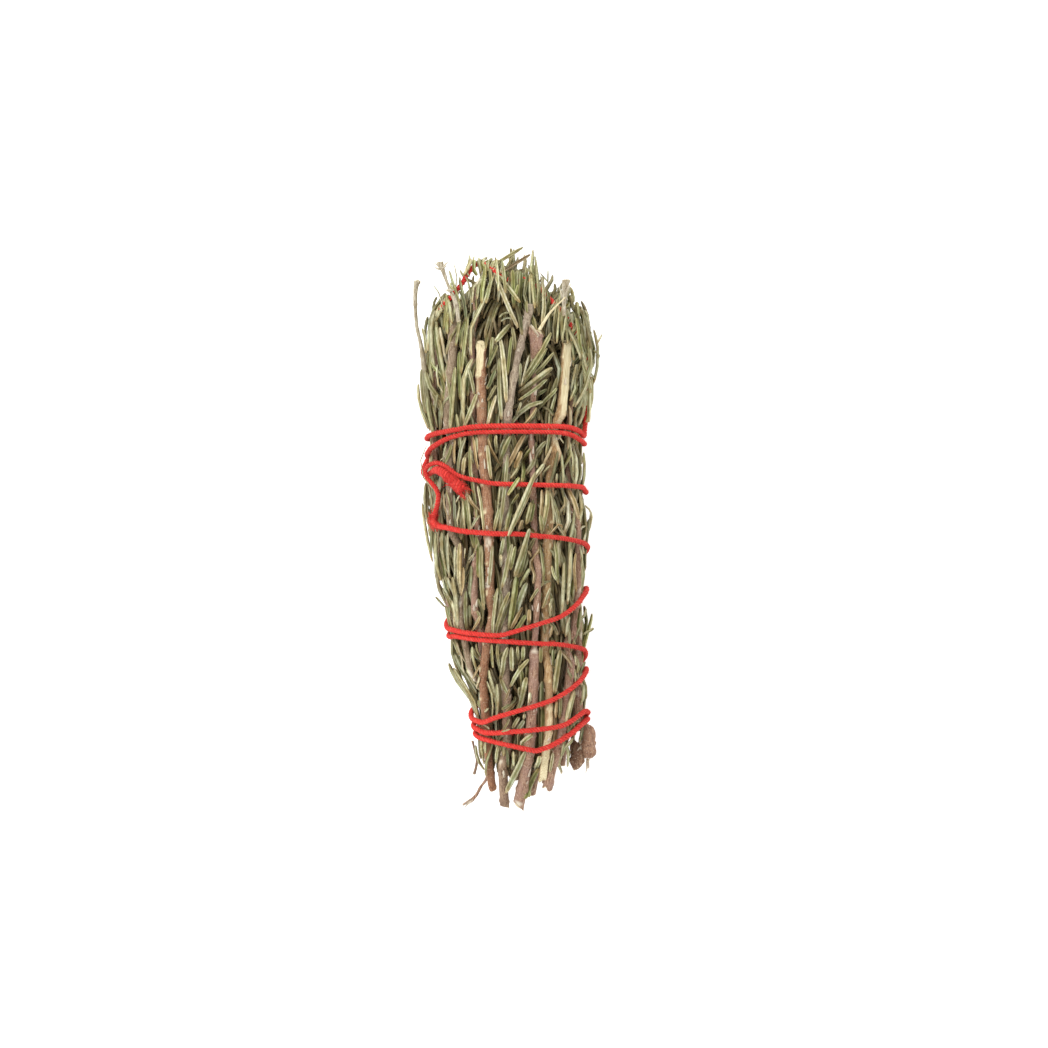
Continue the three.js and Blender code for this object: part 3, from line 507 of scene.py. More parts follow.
# %% The top leaves' places
TONES = {"d": 0.02, "g": 0.17, "o": 0.33, "p": 0.5, "e": 0.66, "w": 0.8, "s": 0.9, "b": 1.0}
TOP_LEAVES = [
    (-14.9, 74.7, -16.4, 86.1, 0.6, "e", 0.8), (-18.3, 72.8, -22.6, 78.9, 0.7, "e", 0.3),
    (-19.3, 70.9, -20.2, 75.1, 1.6, "b"), (-13.4, 71.5, -13.6, 81.5, 1.1, "d"),
    (-12.1, 70.9, -12.3, 81.8, 1, "d"), (-10.8, 71.5, -11.6, 79.9, 1, "d"),
    (-10.5, 82.4, -11.1, 88.8, 1, "e"), (-9.5, 82.4, -9.2, 88.5, 0.8, "g"),
    (-8.3, 81.5, -7.5, 87.9, 1.4, "g"), (-22.7, 65.8, -23.5, 69.3, 1, "e"),
    (-18.4, 65.8, -18, 72.5, 1, "e"), (-5.9, 83.7, 5.9, 91, 1.2, "d"), (-0.2, 83.1, 8.3, 88.7, 1.2, "b"),
    (0.4, 84.3, 2.8, 87.9, 0.6, "d"), (-2.3, 84.7, -0.8, 86.8, 0.6, "d"), (-0.2, 79.3, 1.3, 82.7, 0.6, "d"),
    (4.3, 73.8, -2.3, 81.9, 1.5, "p"), (3.6, 66.5, -3.7, 81.4, 1.5, "w"),
    (-5.3, 66.4, -5.9, 80.8, 1.6, "s1"), (-4.3, 68, -4.6, 79.9, 1.3, "o1"),
    (-2.4, 66.4, -3, 78.9, 1.3, "d1"), (3.9, 74.1, 4.6, 78.6, 1, "g"), (3.4, 74.4, 3.6, 79.2, 1, "d1"),
    (1.9, 73.5, 1.9, 77.9, 1, "d1"), (9.8, 73.1, 9.7, 90.5, 1.6, "o"),
    (11, 73.1, 10.8, 88.3, 1.3, "o", 0.8), (8.8, 82.1, 6.8, 84.3, 0.6, "d"),
    (11.7, 82.2, 13.9, 79.5, 0.5, "d"), (13.8, 79.9, 13.9, 83.7, 0.6, "e"),
    (12.3, 67.7, 15.2, 81.8, 1.6, "o"), (13.4, 67.5, 15.7, 81.2, 1.3, "o1"), (7.2, 69.9, 6.9, 73.1, 1, "o"),
    (16.7, 61.1, 17.4, 70.9, 1, "o"), (17.6, 61.1, 17.9, 70.9, 1, "o1"), (21, 66.4, 21.2, 69.6, 0.6, "e"),
    (21.8, 61.6, 24.7, 67.6, 1.8, "o"), (25.6, 66.4, 26.8, 69.4, 0.8, "d"),
    (27.4, 59.4, 27.9, 64.6, 1.4, "d"), (29.8, 60.7, 31.2, 63.3, 0.8, "e"),
    (22.8, 60.1, 26.4, 65.8, 1.3, "o1"), (30, 55.9, 31.3, 58.3, 1.1, "d"), (21.6, 43.1, 28, 53.6, 1.3, "o"),
    (22.6, 41.1, 28.6, 49.5, 1.3, "o"), (21, 39.2, 26.7, 48.8, 1.3, "d1"),
    (23.7, 38.3, 30.9, 45.6, 1.1, "o"), (25.5, 35.4, 32.5, 45.3, 1.6, "p"),
    (27.4, 37, 28.8, 38.3, 0.6, "e"), (23.3, 43.7, 23.1, 53.4, 1.3, "e"),
    (13.4, 36.7, 17.7, 45.8, 1.3, "o"), (14.2, 35.4, 15.8, 41.1, 1, "o"), (-24, 32.8, -25.3, 52, 2, "p"),
    (-22.9, 58.6, -24.1, 61.2, 0.6, "d"), (-17, 34.4, -15.5, 52.3, 1.6, "o"),
    (-13.4, 52.3, -11.7, 68, 1.3, "o"), (-15.2, 60, -13.9, 67.4, 1.1, "o"),
    (-12.3, 34.4, -8.6, 43.8, 1.6, "p"), (-9.4, 44.4, -11.2, 51.9, 1.1, "p"),
    (-24.9, 33.5, -27.2, 41.8, 0.9, "d"), (-23.3, 34.4, -25.8, 42.4, 1.1, "o"),
    (-22.2, 38.9, -21.5, 43.8, 1.1, "e"), (-19.4, 36.7, -20.6, 42.2, 1.1, "o"),
    (-5.2, 34.4, -3.1, 43.4, 1.3, "w"), (-2.5, 60.7, 1.7, 65.9, 1.6, "p"),
    (1.1, 51.2, 1.1, 61.6, 1.3, "g1"), (1.1, 51.1, 2.3, 61.7, 1, "g"), (-5.6, 52.8, -2.2, 59.1, 1.3, "d"),
    (-5.6, 53.4, -3.8, 61.7, 1.3, "o"), (-5.4, 46, -2.9, 51.2, 1.3, "d"), (-5.4, 42.2, -3, 46.5, 1.1, "d"),
    (5.6, 47.2, 7.8, 55.9, 0.6, "w"), (5.6, 46.7, 5.4, 53.4, 0.9, "e"), (7.4, 47.2, 14.6, 58.4, 1.1, "o"),
    (7.6, 47.9, 12.3, 57.9, 1.3, "o1"), (6.6, 38.6, 14.6, 47.9, 1.1, "o1"), (4.3, 37, 5.4, 41.1, 0.9, "p"),
    (6.9, 34.5, 11.5, 39.5, 1.1, "s"), (-16.5, 30.3, -18.4, 54.6, 1, "g1"),
    (-20.6, 34.4, -18.4, 45.6, 1.3, "o1"), (-23.8, 44, -26.7, 51.4, 1, "g1"),
    (13, 60, 13.9, 64.8, 1.3, "d1"), (26.7, 51.4, 27.4, 57.8, 1.3, "o1"), (25.1, 54.3, 27, 60, 1.1, "g1"),
    (3.7, 58.4, 2.7, 64.8, 1.3, "o1"), (10.1, 64.8, 9.1, 74.4, 1.6, "o1"),
    (14.2, 64.8, 16.5, 74.4, 1.3, "g1"), (0.5, 64.8, -1.4, 74.4, 1.6, "d1"),
    (-15.8, 63.2, -16.8, 71.9, 1.4, "o1"), (-20.6, 60, -21.9, 68.7, 1.3, "d1"),
    (-9.1, 74.4, -9.1, 84, 1.4, "o1"), (-1.4, 74.4, -1.4, 82.4, 1.3, "g1"), (6.9, 74.4, 5.6, 84, 1.3, "g1"),
    (8.2, 72.8, 8.2, 84.7, 1.4, "d1"), (13, 74.4, 13, 79.5, 1.3, "o1"), (19.7, 60, 21.3, 67.4, 1.3, "d1"),
    (-15.8, 22.6, -16.5, 29.6, 1, "s"), (-15, 19.7, -13, 30.3, 1.3, "e", -0.3),
    (-13, 18.7, -13, 23.9, 1.4, "s"), (-10.1, 6.3, -11, 27.4, 1.3, "o", -0.6),
    (-8.9, 21, -10.9, 30.4, 1, "s"), (-7.5, 18.7, -8.8, 30.3, 1.4, "p"), (-8.5, 17.8, -7.2, 21.3, 1, "w"),
    (-4.3, 18.1, -5.6, 27.7, 1.3, "o"), (-2.4, 21.9, -7.1, 29.9, 1, "s"),
    (-3.4, 25.5, -2.7, 30.9, 1.1, "p"), (-2.9, 20.7, 2.1, 30.6, 1.6, "o"),
    (-1.3, 2.9, 1, 24.5, 1.3, "p", 0.3), (1.6, 21.6, 7.2, 31.1, 1.6, "s"), (3.9, 21, 5.9, 25.8, 1.6, "s"),
    (2.7, 17.8, 8.6, 24.5, 1.3, "p"), (3.9, 17.5, 8.5, 23.2, 1, "o1"), (6.3, 16.9, 10.4, 26.7, 1.4, "g"),
    (8.1, 20, 9, 27.5, 1.1, "d"), (2.1, 1.1, 9.3, 19.1, 1.8, "p-1"), (8.5, 19.4, 14.4, 29, 1.6, "o"),
    (1.4, 12.4, 4.5, 17.4, 1.4, "g-1"), (9, 16.5, 12.8, 21.8, 1.6, "o"), (11.3, 21.4, 12.2, 28.7, 1.3, "o"),
    (14.2, 16.5, 15.5, 27.4, 1.3, "s"), (14.7, 16, 16.2, 21.4, 1.1, "p"), (16.6, 16.2, 16.8, 18.7, 1, "p"),
    (19.4, 28.7, 19.7, 31.9, 1.3, "w"), (17.4, 31.5, 19.2, 28.3, 0.5, "w"), (19, 16, 20.3, 29, 1.4, "o"),
    (22.6, 18.7, 21.6, 25.8, 0.8, "p"), (22.8, 15.9, 25.9, 28.3, 1.4, "p", -0.3),
    (24.2, 16.2, 25.1, 24.8, 1.3, "o1"), (25.8, 16, 26.6, 25.6, 1.3, "g"),
    (20.6, 15.9, 20.6, 19.1, 1.1, "b"), (-21.3, 23.2, -20.6, 29, 0.6, "p"),
    (-20, 23.2, -19.5, 28.7, 0.6, "e"), (-23, 7.2, -26, 15.1, 1, "d"),
    (-23.2, 16.8, -24.8, 24.8, 1.3, "o1"), (-18.4, 20, -17.4, 28, 1.3, "o1"),
    (-0.5, 16.2, 0.8, 22.6, 1.3, "d1"), (13, 20, 13.9, 26.4, 1.3, "g1"), (27.4, 16.8, 28, 24.8, 1, "o1"),
    (21, 16.2, 22.9, 22.6, 1.3, "d1"), (10.7, 16.8, 11.7, 21.3, 1.1, "d1"),
    (-18.4, 6.3, -18.9, 13.6, 0.8, "g"), (-14.9, 2.4, -16.3, 8.8, 0.8, "p"),
    (-12.8, 1.8, -13.9, 10.4, 1.1, "p"), (-15.2, 9.8, -14.2, 11.9, 0.5, "w"),
    (-12, 1.5, -13.3, 13.9, 1.4, "p"), (-9.8, 5.3, -11.7, 12, 1.3, "s"), (-6.4, 1.8, -8.8, 14.9, 1.1, "p"),
    (-7.8, 1.8, -10.1, 13, 1.1, "o1"), (-10.2, 1.8, -8.5, 5.5, 1, "e"), (-2.4, 7.9, -1.4, 15.2, 1, "p"),
    (-3, 1.6, -1.8, 9.6, 1.3, "p"), (0.8, 1.5, 2.6, 11.1, 1.6, "o"), (1.8, 7.9, 4.6, 12.3, 1.1, "g"),
    (3.9, 3.1, 9.2, 13.7, 1, "b"), (7.2, 3.4, 8.8, 9.5, 1.6, "g"), (8.5, 4, 9.8, 9.3, 1.3, "g1"),
    (4.8, 1.1, 5.8, 4, 1.3, "s"), (12, 4, 12.3, 13.6, 1.3, "s"), (13.4, 1.5, 14.4, 13.7, 1.8, "p"),
    (12.5, 0.3, 11.4, 5.5, 1.3, "o"), (15.8, 4, 15.4, 13.6, 1, "p"), (16.5, 4, 16.6, 13.6, 1, "p1"),
    (17.4, 3.1, 17.8, 13, 1.3, "p"), (21.3, 0.8, 18.2, 10.7, 1, "p", -0.6),
    (20.8, 4.8, 19.5, 11.4, 1.1, "w"), (21.3, -0.8, 21.6, 4.7, 1.1, "w"), (23.5, 5.3, 22.1, 13.6, 1.6, "s"),
    (25.1, -0.8, 25.4, 13.3, 1.3, "p"), (26.1, -0.1, 26.4, 11.4, 1.1, "o1"),
    (26.8, 5.3, 27.7, 10.3, 1.3, "o"), (27.3, 5.6, 28.2, 9.5, 1, "o1"), (27.5, 5.3, 29.5, 8.8, 1, "e"),
    (26.8, 1, 28.6, 2.1, 1, "e"), (-21.9, 5.6, -23.8, 13, 1.3, "g1"), (-15.8, 4, -17.1, 10.4, 1.3, "o1"),
    (5.9, 5.6, 7.2, 11.4, 1.3, "d1"), (10.1, 2.4, 11, 10.4, 1.3, "o1"), (18.7, 2.4, 19.4, 8.8, 1.3, "d1"),
    (-3.7, 4, -3.4, 10.4, 1, "d1"), (-16.8, 2.4, -17.8, 12, 1.1, "e1"), (-23.9, -5.9, -26.4, 1.5, 1, "d"),
    (-21.4, -13.7, -22.6, -0.1, 1.9, "o", -0.8), (-20, -14.2, -20.5, 0.2, 1.4, "o"),
    (-21, -5.3, -21.6, 0.5, 0.8, "b"), (-17.8, -12.9, -18.5, -0.1, 1, "e"),
    (-16.6, -14.5, -15.5, -4.3, 1.3, "e"), (-15, -17.7, -14.1, -3.3, 1.9, "s"),
    (-13.9, -19, -13.6, -11, 1, "s", 0.6), (-12.6, -7.8, -12.4, -4.9, 0.5, "w"),
    (-11.4, -8.4, -9.3, -6.5, 0.5, "w"), (-6.7, -22.2, -8.3, -4, 1.6, "g"),
    (-20.3, -21.6, -21.3, -13.9, 1.3, "e"), (-18.4, -23.2, -19.5, -14.7, 1.3, "e"),
    (-16.9, -22.2, -18.2, -14.2, 1.3, "e"), (-15.2, -31.2, -16.6, -14.2, 1.6, "p"),
    (-19.4, -23.5, -22.1, -20.5, 1, "d"), (-19.4, -24.5, -21.9, -21.6, 1, "d1"),
    (-18.7, -26.7, -21.4, -23.7, 1.1, "d"), (-20.3, -20.9, -21.1, -18.4, 0.6, "d"),
    (-16.8, -31.2, -17.4, -21.6, 1.6, "p"), (-10.9, -30.2, -10.7, -24.8, 1.3, "p"),
    (-10.6, -31.2, -8.2, -26.4, 0.8, "s"), (-5, -32.1, -2.2, -17.4, 1.3, "p"),
    (-4.2, -32.6, 1.6, -18.7, 1.4, "p", -0.3), (-2.4, -31.2, 1.9, -20.3, 1.6, "p1"),
    (-0.3, -15.8, 2.6, -3.5, 1.6, "p"), (2.1, -11, 3.5, -4.3, 1.3, "o"), (-1.8, -9.4, -0.3, -1.7, 1.3, "p"),
    (-1.4, -10.4, -1.1, -6.9, 1, "w"), (3.7, -12.2, 7.7, 1.3, 1.9, "p-1"),
    (4.8, -12.8, 8.2, -2.1, 1.8, "o"), (9.4, -7.5, 7.8, -5.4, 1, "s"), (5.6, -16.8, 8, -11.3, 1.6, "g"),
    (9.4, -15.2, 10.6, -7.5, 1, "s"), (4.2, -25.2, 7.8, -15.8, 1.9, "e", -0.6),
    (5.6, -22.5, 8.2, -16.8, 1.3, "o1"), (1.8, -28.6, 4.3, -13.3, 2.2, "g"),
    (2.3, -29.9, 6.1, -23.6, 1.3, "s"), (7.8, -28.3, 8.2, -24.3, 1.3, "s"), (12.6, -15.5, 13.9, -4, 1, "o"),
    (10.4, -11, 13.9, -2.7, 1.3, "s"), (14.2, -15.2, 14.2, -3.3, 1.6, "o"),
    (17.6, -14.9, 16.8, -2.4, 1.3, "o"), (15.5, -11, 17.3, -15.1, 1, "p"),
    (15.8, -26.1, 16.8, -20.8, 1.3, "o"), (14.9, -24.5, 14.9, -22.2, 0.8, "w"),
    (18.6, -25.4, 18.9, -9.7, 1.6, "p"), (20.2, -20.9, 21.3, -4.9, 1.6, "p"),
    (17.8, -10.1, 17.4, -2.7, 1.3, "s1"), (22.9, -17.7, 22.7, -6.5, 1, "s", -0.6),
    (25.3, -13.3, 25.4, -4.3, 1.1, "o"), (25.3, -17.3, 29.8, -0.9, 1.9, "o"),
    (27.7, -6.1, 28, -0.1, 1, "e"), (25.4, -25.1, 28.5, -14.1, 1.8, "o", 0.3),
    (27, -21.3, 29.1, -20.9, 0.8, "e"), (25.4, -28, 27.7, -24.9, 1.3, "s"),
    (26.4, -30.1, 29.4, -24.3, 1.3, "e"), (27, -32.5, 28.6, -30.5, 1, "o"),
    (24.2, -32.5, 25.8, -25.4, 1.6, "d"), (19.7, -32.5, 21.3, -26.7, 1.3, "p"),
    (14.6, -32.8, 15.8, -29.6, 1, "s"), (26.7, -32.8, 28.9, -30.7, 1, "d"),
    (26.2, -35.3, 28, -31.8, 1.3, "o"), (-18.4, -8.8, -19.7, -0.8, 1.3, "d1"),
    (-12.3, -18.4, -11.7, -8.8, 1.4, "o1"), (-10.1, -21.6, -10.4, -10.4, 1.4, "d1"),
    (-4.6, -15.2, -3.7, -4, 1.3, "o1"), (6.6, -8.8, 6.2, -2.4, 1.4, "d1"),
    (11.7, -21.6, 12, -13.6, 1.3, "g1"), (21, -13.6, 21.6, -5.6, 1.1, "g1"),
    (27.4, -12, 26.7, -2.4, 1.3, "o1"), (-12.3, -29.6, -13.3, -18.4, 1.4, "o1"),
    (-8.5, -29.6, -8.8, -20.9, 1.3, "g1"), (0.2, -25.4, 1.1, -16.8, 1.4, "d1"),
    (13, -31.2, 13.6, -23.2, 1.3, "o1"), (17.4, -31.8, 17.8, -24.8, 1.3, "d1"),
    (21.9, -24.8, 23.2, -16.8, 1.3, "o1"), (-17.4, -35, -19.2, -34.3, 1, "d"),
    (-13.5, -50.4, -16.7, -39, 1.6, "e", -0.6), (-10.1, -57.6, -13.3, -51, 1, "e"),
    (-13.6, -42.4, -15.5, -35, 1, "b"), (-10.7, -44, -10.2, -36.3, 1.3, "o"),
    (-9.6, -41.4, -9.4, -35.3, 1, "o1"), (-5.1, -58.4, -6.3, -43.7, 1.4, "p"),
    (-9.1, -49.4, -8.8, -45.9, 1.1, "w"), (-9.9, -46.2, -7.8, -42.1, 0.8, "s"),
    (-10.2, -54.5, -10.7, -51.7, 1, "s"), (-9.8, -58.1, -9.4, -53.6, 1, "o"),
    (-9.4, -58.7, -7.8, -56.1, 1, "p"), (-4.8, -58.1, -5.9, -47.2, 0.8, "p", 0.5),
    (-3.7, -42.1, -4.3, -35.3, 1, "o"), (-2.7, -44, -2.6, -35, 1, "e"),
    (-1.8, -45.6, 1, -36.3, 1.6, "p", -0.3), (-4, -58.1, -2.6, -48.1, 1.3, "p", 0.3),
    (-0.3, -51, -3.5, -45.4, 1.4, "p"), (-1.8, -56.1, -1.2, -52.3, 1.3, "o"),
    (0, -53.3, 1.3, -49.7, 0.8, "b"), (-0.6, -56.5, 1.4, -52.9, 1.3, "s"), (2.7, -55.8, 1.3, -48.5, 1, "s"),
    (2.4, -43, 2.1, -36.3, 1.6, "e"), (4.3, -40.1, 4.2, -36, 1, "o"), (5.9, -40.1, 6.1, -36, 1.3, "o"),
    (1.8, -48.1, 7.8, -40.1, 1.4, "p", -0.6), (5, -49.7, 4.6, -42.1, 1.6, "o", 0.5),
    (3.8, -56.1, 6.9, -45.9, 1.9, "p"), (3.5, -54.2, 4.3, -49.1, 1, "p"),
    (8.2, -53.9, 8.2, -50.7, 1.1, "w"), (16.3, -49.7, 18.2, -37.3, 1.9, "p", -0.3),
    (18.4, -47.2, 19.4, -38.2, 1.6, "e"), (17, -49.1, 18.9, -44.9, 1, "w"),
    (21.6, -42.4, 19.8, -36.9, 1.3, "s"), (22.6, -42.1, 22.7, -39.2, 0.6, "w"),
    (22.9, -47.2, 23.8, -42.4, 1, "o"), (23.8, -44.3, 27.5, -39, 1.3, "o"),
    (24.8, -45.3, 27.8, -41.3, 1, "d"), (-6.9, -61.6, -6.1, -62.9, 0.6, "w"),
    (-0.8, -62.9, 0.5, -59.3, 1, "p"), (-0.2, -63, 2, -59.3, 1, "p1"), (2.4, -61.9, 3.8, -58.7, 1.3, "p"),
    (6.2, -59, 6.2, -57.7, 1, "w"), (16.6, -58.4, 17.1, -53.6, 1.1, "s"), (20, -60.3, 23, -50.4, 1.9, "p"),
    (21.6, -57.4, 23.4, -49.7, 1.6, "p1"), (6.7, -67.7, 8.5, -64.1, 1.6, "p"),
    (1.1, -63.2, 2.7, -62.4, 0.5, "p-1"), (-14.6, -47.2, -15.8, -37.6, 1.3, "o1"),
    (-11.7, -50.4, -11, -42.4, 1.3, "d1"), (0.2, -42.4, -0.2, -36, 1.3, "d1"),
    (6.6, -50.4, 7.5, -42.4, 1.4, "o1"), (11.4, -40.8, 11.7, -36, 1.3, "o1"),
    (15.2, -42.4, 15.5, -36.9, 1.3, "d1"), (21, -50.4, 22.2, -43.3, 1.3, "o1"),
    (25.4, -50.4, 26.7, -43.3, 1.3, "o1"), (11.7, -55.2, 12, -47.2, 1.3, "d1"),
    (-8.5, -55.2, -8.5, -48.8, 1.3, "b1"), (1.8, -59.3, 2.4, -53.6, 1.3, "d1"),
    (17.8, -58.4, 18.7, -50.4, 1.3, "d1"), (23.5, -55.2, 25.1, -48.8, 1.3, "o1"),
    (-3, -68, -2.4, -61.6, 1.1, "d1"), (11.4, -68, 11.7, -63.2, 1.1, "d1"),
    (22.6, -64.8, 24.2, -57.4, 1.3, "o1"), (-9.8, -64.1, -11.6, -65.3, 1, "e"),
    (-8.5, -71.2, -8.2, -66.7, 1.3, "o"), (-7.7, -73.7, -6.9, -67, 1.1, "p"),
    (-2.7, -73.1, -2.6, -67.7, 1, "p"), (2.9, -74.1, 2.7, -69.6, 1, "p"), (1, -81.9, 6.6, -69.7, 1.9, "e"),
    (11, -76.6, 6.1, -85.3, 1.9, "g"), (9.6, -79, 8.1, -84.8, 1, "g"), (18.1, -71.5, 19.7, -66.4, 1, "o"),
    (11.2, -76, 11.2, -71.2, 1.6, "p"), (20.3, -74.4, 21, -67, 1.3, "o1"),
    (18.7, -76.6, 19.7, -69.6, 1.1, "e1"), (5.3, -74.7, 4.6, -69.6, 1.3, "o1"),
    (1.1, -74.4, 0.8, -68.9, 1.1, "d1"), (14.9, -76, 15.5, -70.2, 1.1, "o1"),
    (-24.8, 51.4, -26.4, 65.5, 1.5, "p1"), (-21.9, 42.4, -23.5, 56.2, 1.5, "g1"),
    (-20.3, 43.4, -22.4, 66.1, 1.6, "o1"), (-18.7, 46.6, -21.4, 67.4, 1.6, "g1"),
    (-17.1, 48.8, -19.7, 67.7, 1.5, "d1"), (-22.9, 35.4, -25, 50.1, 1.6, "g1"),
    (-21.3, 33.8, -24.3, 53.3, 1.5, "d1"), (-13.9, 59.7, -15.5, 74.1, 1.5, "g1"),
    (-12.3, 61, -13.8, 77.3, 1.5, "d1"), (-10.7, 64.2, -12.5, 85.9, 1.5, "e1"),
    (-8.8, 60, -10.1, 85.3, 1.5, "o1"), (-7.2, 64.2, -8.3, 86.3, 1.5, "p1"),
    (-5.6, 63.2, -6.6, 85.3, 1.4, "g1"), (-2.7, 68, -3.4, 82.1, 1.4, "o1"),
    (-0.5, 67.4, -1.4, 80.8, 1.4, "d1"), (-15.5, 63.2, -17.3, 78.6, 1.4, "o1"),
    (-17.4, 58.4, -19.2, 73.8, 1.4, "g1"), (13, 64.2, 14.2, 79.5, 1.5, "o1"),
    (15.2, 64.2, 16.5, 78.9, 1.5, "g1"), (16.8, 67.4, 14.2, 83.4, 1.5, "d1"),
    (18.4, 64.2, 18.1, 76.3, 1.5, "o1"), (11.4, 64.8, 11.8, 84, 1.5, "g1"),
    (5.9, 64.2, 5.1, 78.9, 1.5, "d1"), (2.7, 67.4, 1.4, 81.1, 1.5, "o1"),
    (19.7, 58.4, 20.6, 72.8, 1.4, "o1"), (22.6, 48.2, 22.1, 64.8, 1.5, "d1"),
    (24.2, 45, 24.5, 62.9, 1.5, "o1"), (25.8, 41.8, 26.6, 60, 1.5, "g1"),
    (27.4, 40.2, 28.3, 58.1, 1.5, "o1"), (28.6, 41.8, 29.8, 59.7, 1.4, "p1"),
    (27.4, 35.4, 30.1, 49.5, 1.5, "g1"), (25.1, 33.8, 27.7, 47.5, 1.5, "o1"),
    (23.5, 33.8, 25.1, 46.9, 1.5, "d1"), (29, 47.5, 29.4, 61.3, 1.3, "o1"),
    (26.1, 48.8, 27.4, 63.5, 1.5, "g1"), (-11, -57.4, -16.8, -43.3, 1.6, "o"),
    (-10.4, -55.2, -15.8, -40.8, 1.6, "g1"), (-9.8, -53.6, -14.9, -38.9, 1.5, "p"),
    (-9.1, -58.1, -13.6, -44.6, 1.5, "d1"), (-8.5, -52.6, -13.3, -37.6, 1.5, "e1"),
    (-11, -50.4, -17.4, -36, 1.5, "o1"), (-12.3, -47.5, -18.4, -34.7, 1.5, "g"),
    (-7.8, -50.4, -11.7, -36.9, 1.5, "g1"), (-7.2, -57.4, -11, -47.2, 1.5, "o1"),
    (-10.1, -60.6, -13, -50.4, 1.5, "d2"), (-9.1, -62.5, -11.4, -53.6, 1.5, "g2"),
    (-12.6, -43.3, -17.8, -31.8, 1.5, "p1"), (-7.5, -76.6, -9.8, -67, 1.5, "g1"),
    (-6.6, -75.3, -8.2, -65.7, 1.5, "d1"), (-5.6, -74.4, -6.6, -64.8, 1.5, "o2"),
    (-16.8, 67.4, -18.7, 76, 1.4, "o"), (-15.2, 69.3, -16.5, 79.9, 1.4, "g"),
    (-10.4, 74.4, -11, 87.2, 1.3, "p"), (-8.8, 75.4, -9.6, 87.5, 1.3, "o"),
    (-7.8, 74.1, -7.5, 85.9, 1.4, "g"), (-5.9, 73.8, -5.4, 84, 1.3, "o"),
    (-10.1, 70.6, -11, 82.7, 1.5, "d1"), (-8.2, 70.6, -8.8, 84.3, 1.5, "o1"),
    (-6.6, 72.2, -6.9, 85, 1.4, "g1"), (-4.6, 72.2, -5, 84, 1.4, "d1"), (-12, 70.6, -13.3, 80.5, 1.4, "e1"),
    (-13.6, 69.3, -15.2, 78.6, 1.4, "o1"), (-18.4, 64.2, -20.6, 73.5, 1.4, "g"),
    (-19.7, 61.6, -21.9, 70.6, 1.4, "o1"), (-21, 57.8, -23.2, 67.1, 1.4, "p1"),
    (25.4, 30.9, 28.6, 43.4, 1.5, "o"), (26.4, 29.6, 29.9, 40.8, 1.5, "p"),
    (27, 34.4, 29.4, 48.8, 1.5, "g"), (25.1, 32.8, 28, 47.5, 1.4, "o1"),
    (17.8, 63.2, 16.8, 77.3, 1.5, "o1"), (21.3, 57.8, 22.2, 69.9, 1.5, "g1"),
    (23.2, 53.3, 24.5, 67.4, 1.5, "o1"), (25.1, 49.1, 26.7, 62.9, 1.5, "d1"),
    (26.4, 43.7, 28, 58.4, 1.5, "o"), (15.2, 3.4, 14.2, 22.3, 1.5, "o1"), (16.8, 1.8, 16.5, 20, 1.5, "g1"),
    (18.4, 3.4, 18.9, 21.6, 1.4, "p1"), (13.6, 9.5, 11.7, 25.5, 1.5, "o1"),
    (16.5, 10.4, 17.4, 25.8, 1.5, "d1"), (9.1, 9.8, 8.2, 27.7, 1.5, "o1"), (10.4, 3.4, 10.1, 20, 1.5, "g1"),
    (7.8, 11.4, 6.9, 27.1, 1.4, "e1"), (11.7, 11.4, 10.4, 27.4, 1.4, "d1"),
    (-9.8, 69.6, -10.7, 84, 1.4, "g1"), (-7.8, 68.7, -8.8, 84.7, 1.5, "p1"),
    (-5.9, 68.7, -6.9, 83.4, 1.4, "d1"), (-11.7, 70.6, -12.6, 82.1, 1.4, "g1"),
    (-13.3, 68.7, -14.6, 78.9, 1.3, "d1"), (26.9, 50.1, 26.7, 61.6, 1.5, "g-1"),
    (27, 36.7, 27.2, 48.8, 1.4, "p-1"), (25.4, 57.1, 24.5, 66.7, 1.3, "d-1"),
    (-6.9, -55.2, -9.1, -42.7, 0.9, "p1"), (-8.5, -51, -11.7, -39.5, 0.9, "d1"),
    (-7.5, -65.1, -9.8, -57.4, 0.9, "g1"), (23.7, 57.8, 22.7, 68.3, 1.2, "g-1"),
    (25.3, 52.7, 24.5, 63.2, 1.2, "p-1"), (0.3, 77, -0.3, 86.6, 1.1, "o-1"),
    (-1.9, 77.6, -2.1, 87.5, 1, "p-1"), (-12.3, 74.4, -13.1, 83.7, 1, "g-1"),
    (-12.2, 68, -12.8, 76.7, 1, "d-1"), (-8.2, -65.7, -10.7, -54.2, 1.4, "g1"),
    (-6.6, -67, -9.4, -56.1, 1.4, "p1"), (-11.4, -51, -14.4, -39.2, 1.4, "d1"),
    (-9.8, -57.4, -13, -45.9, 1.3, "g1"),
]
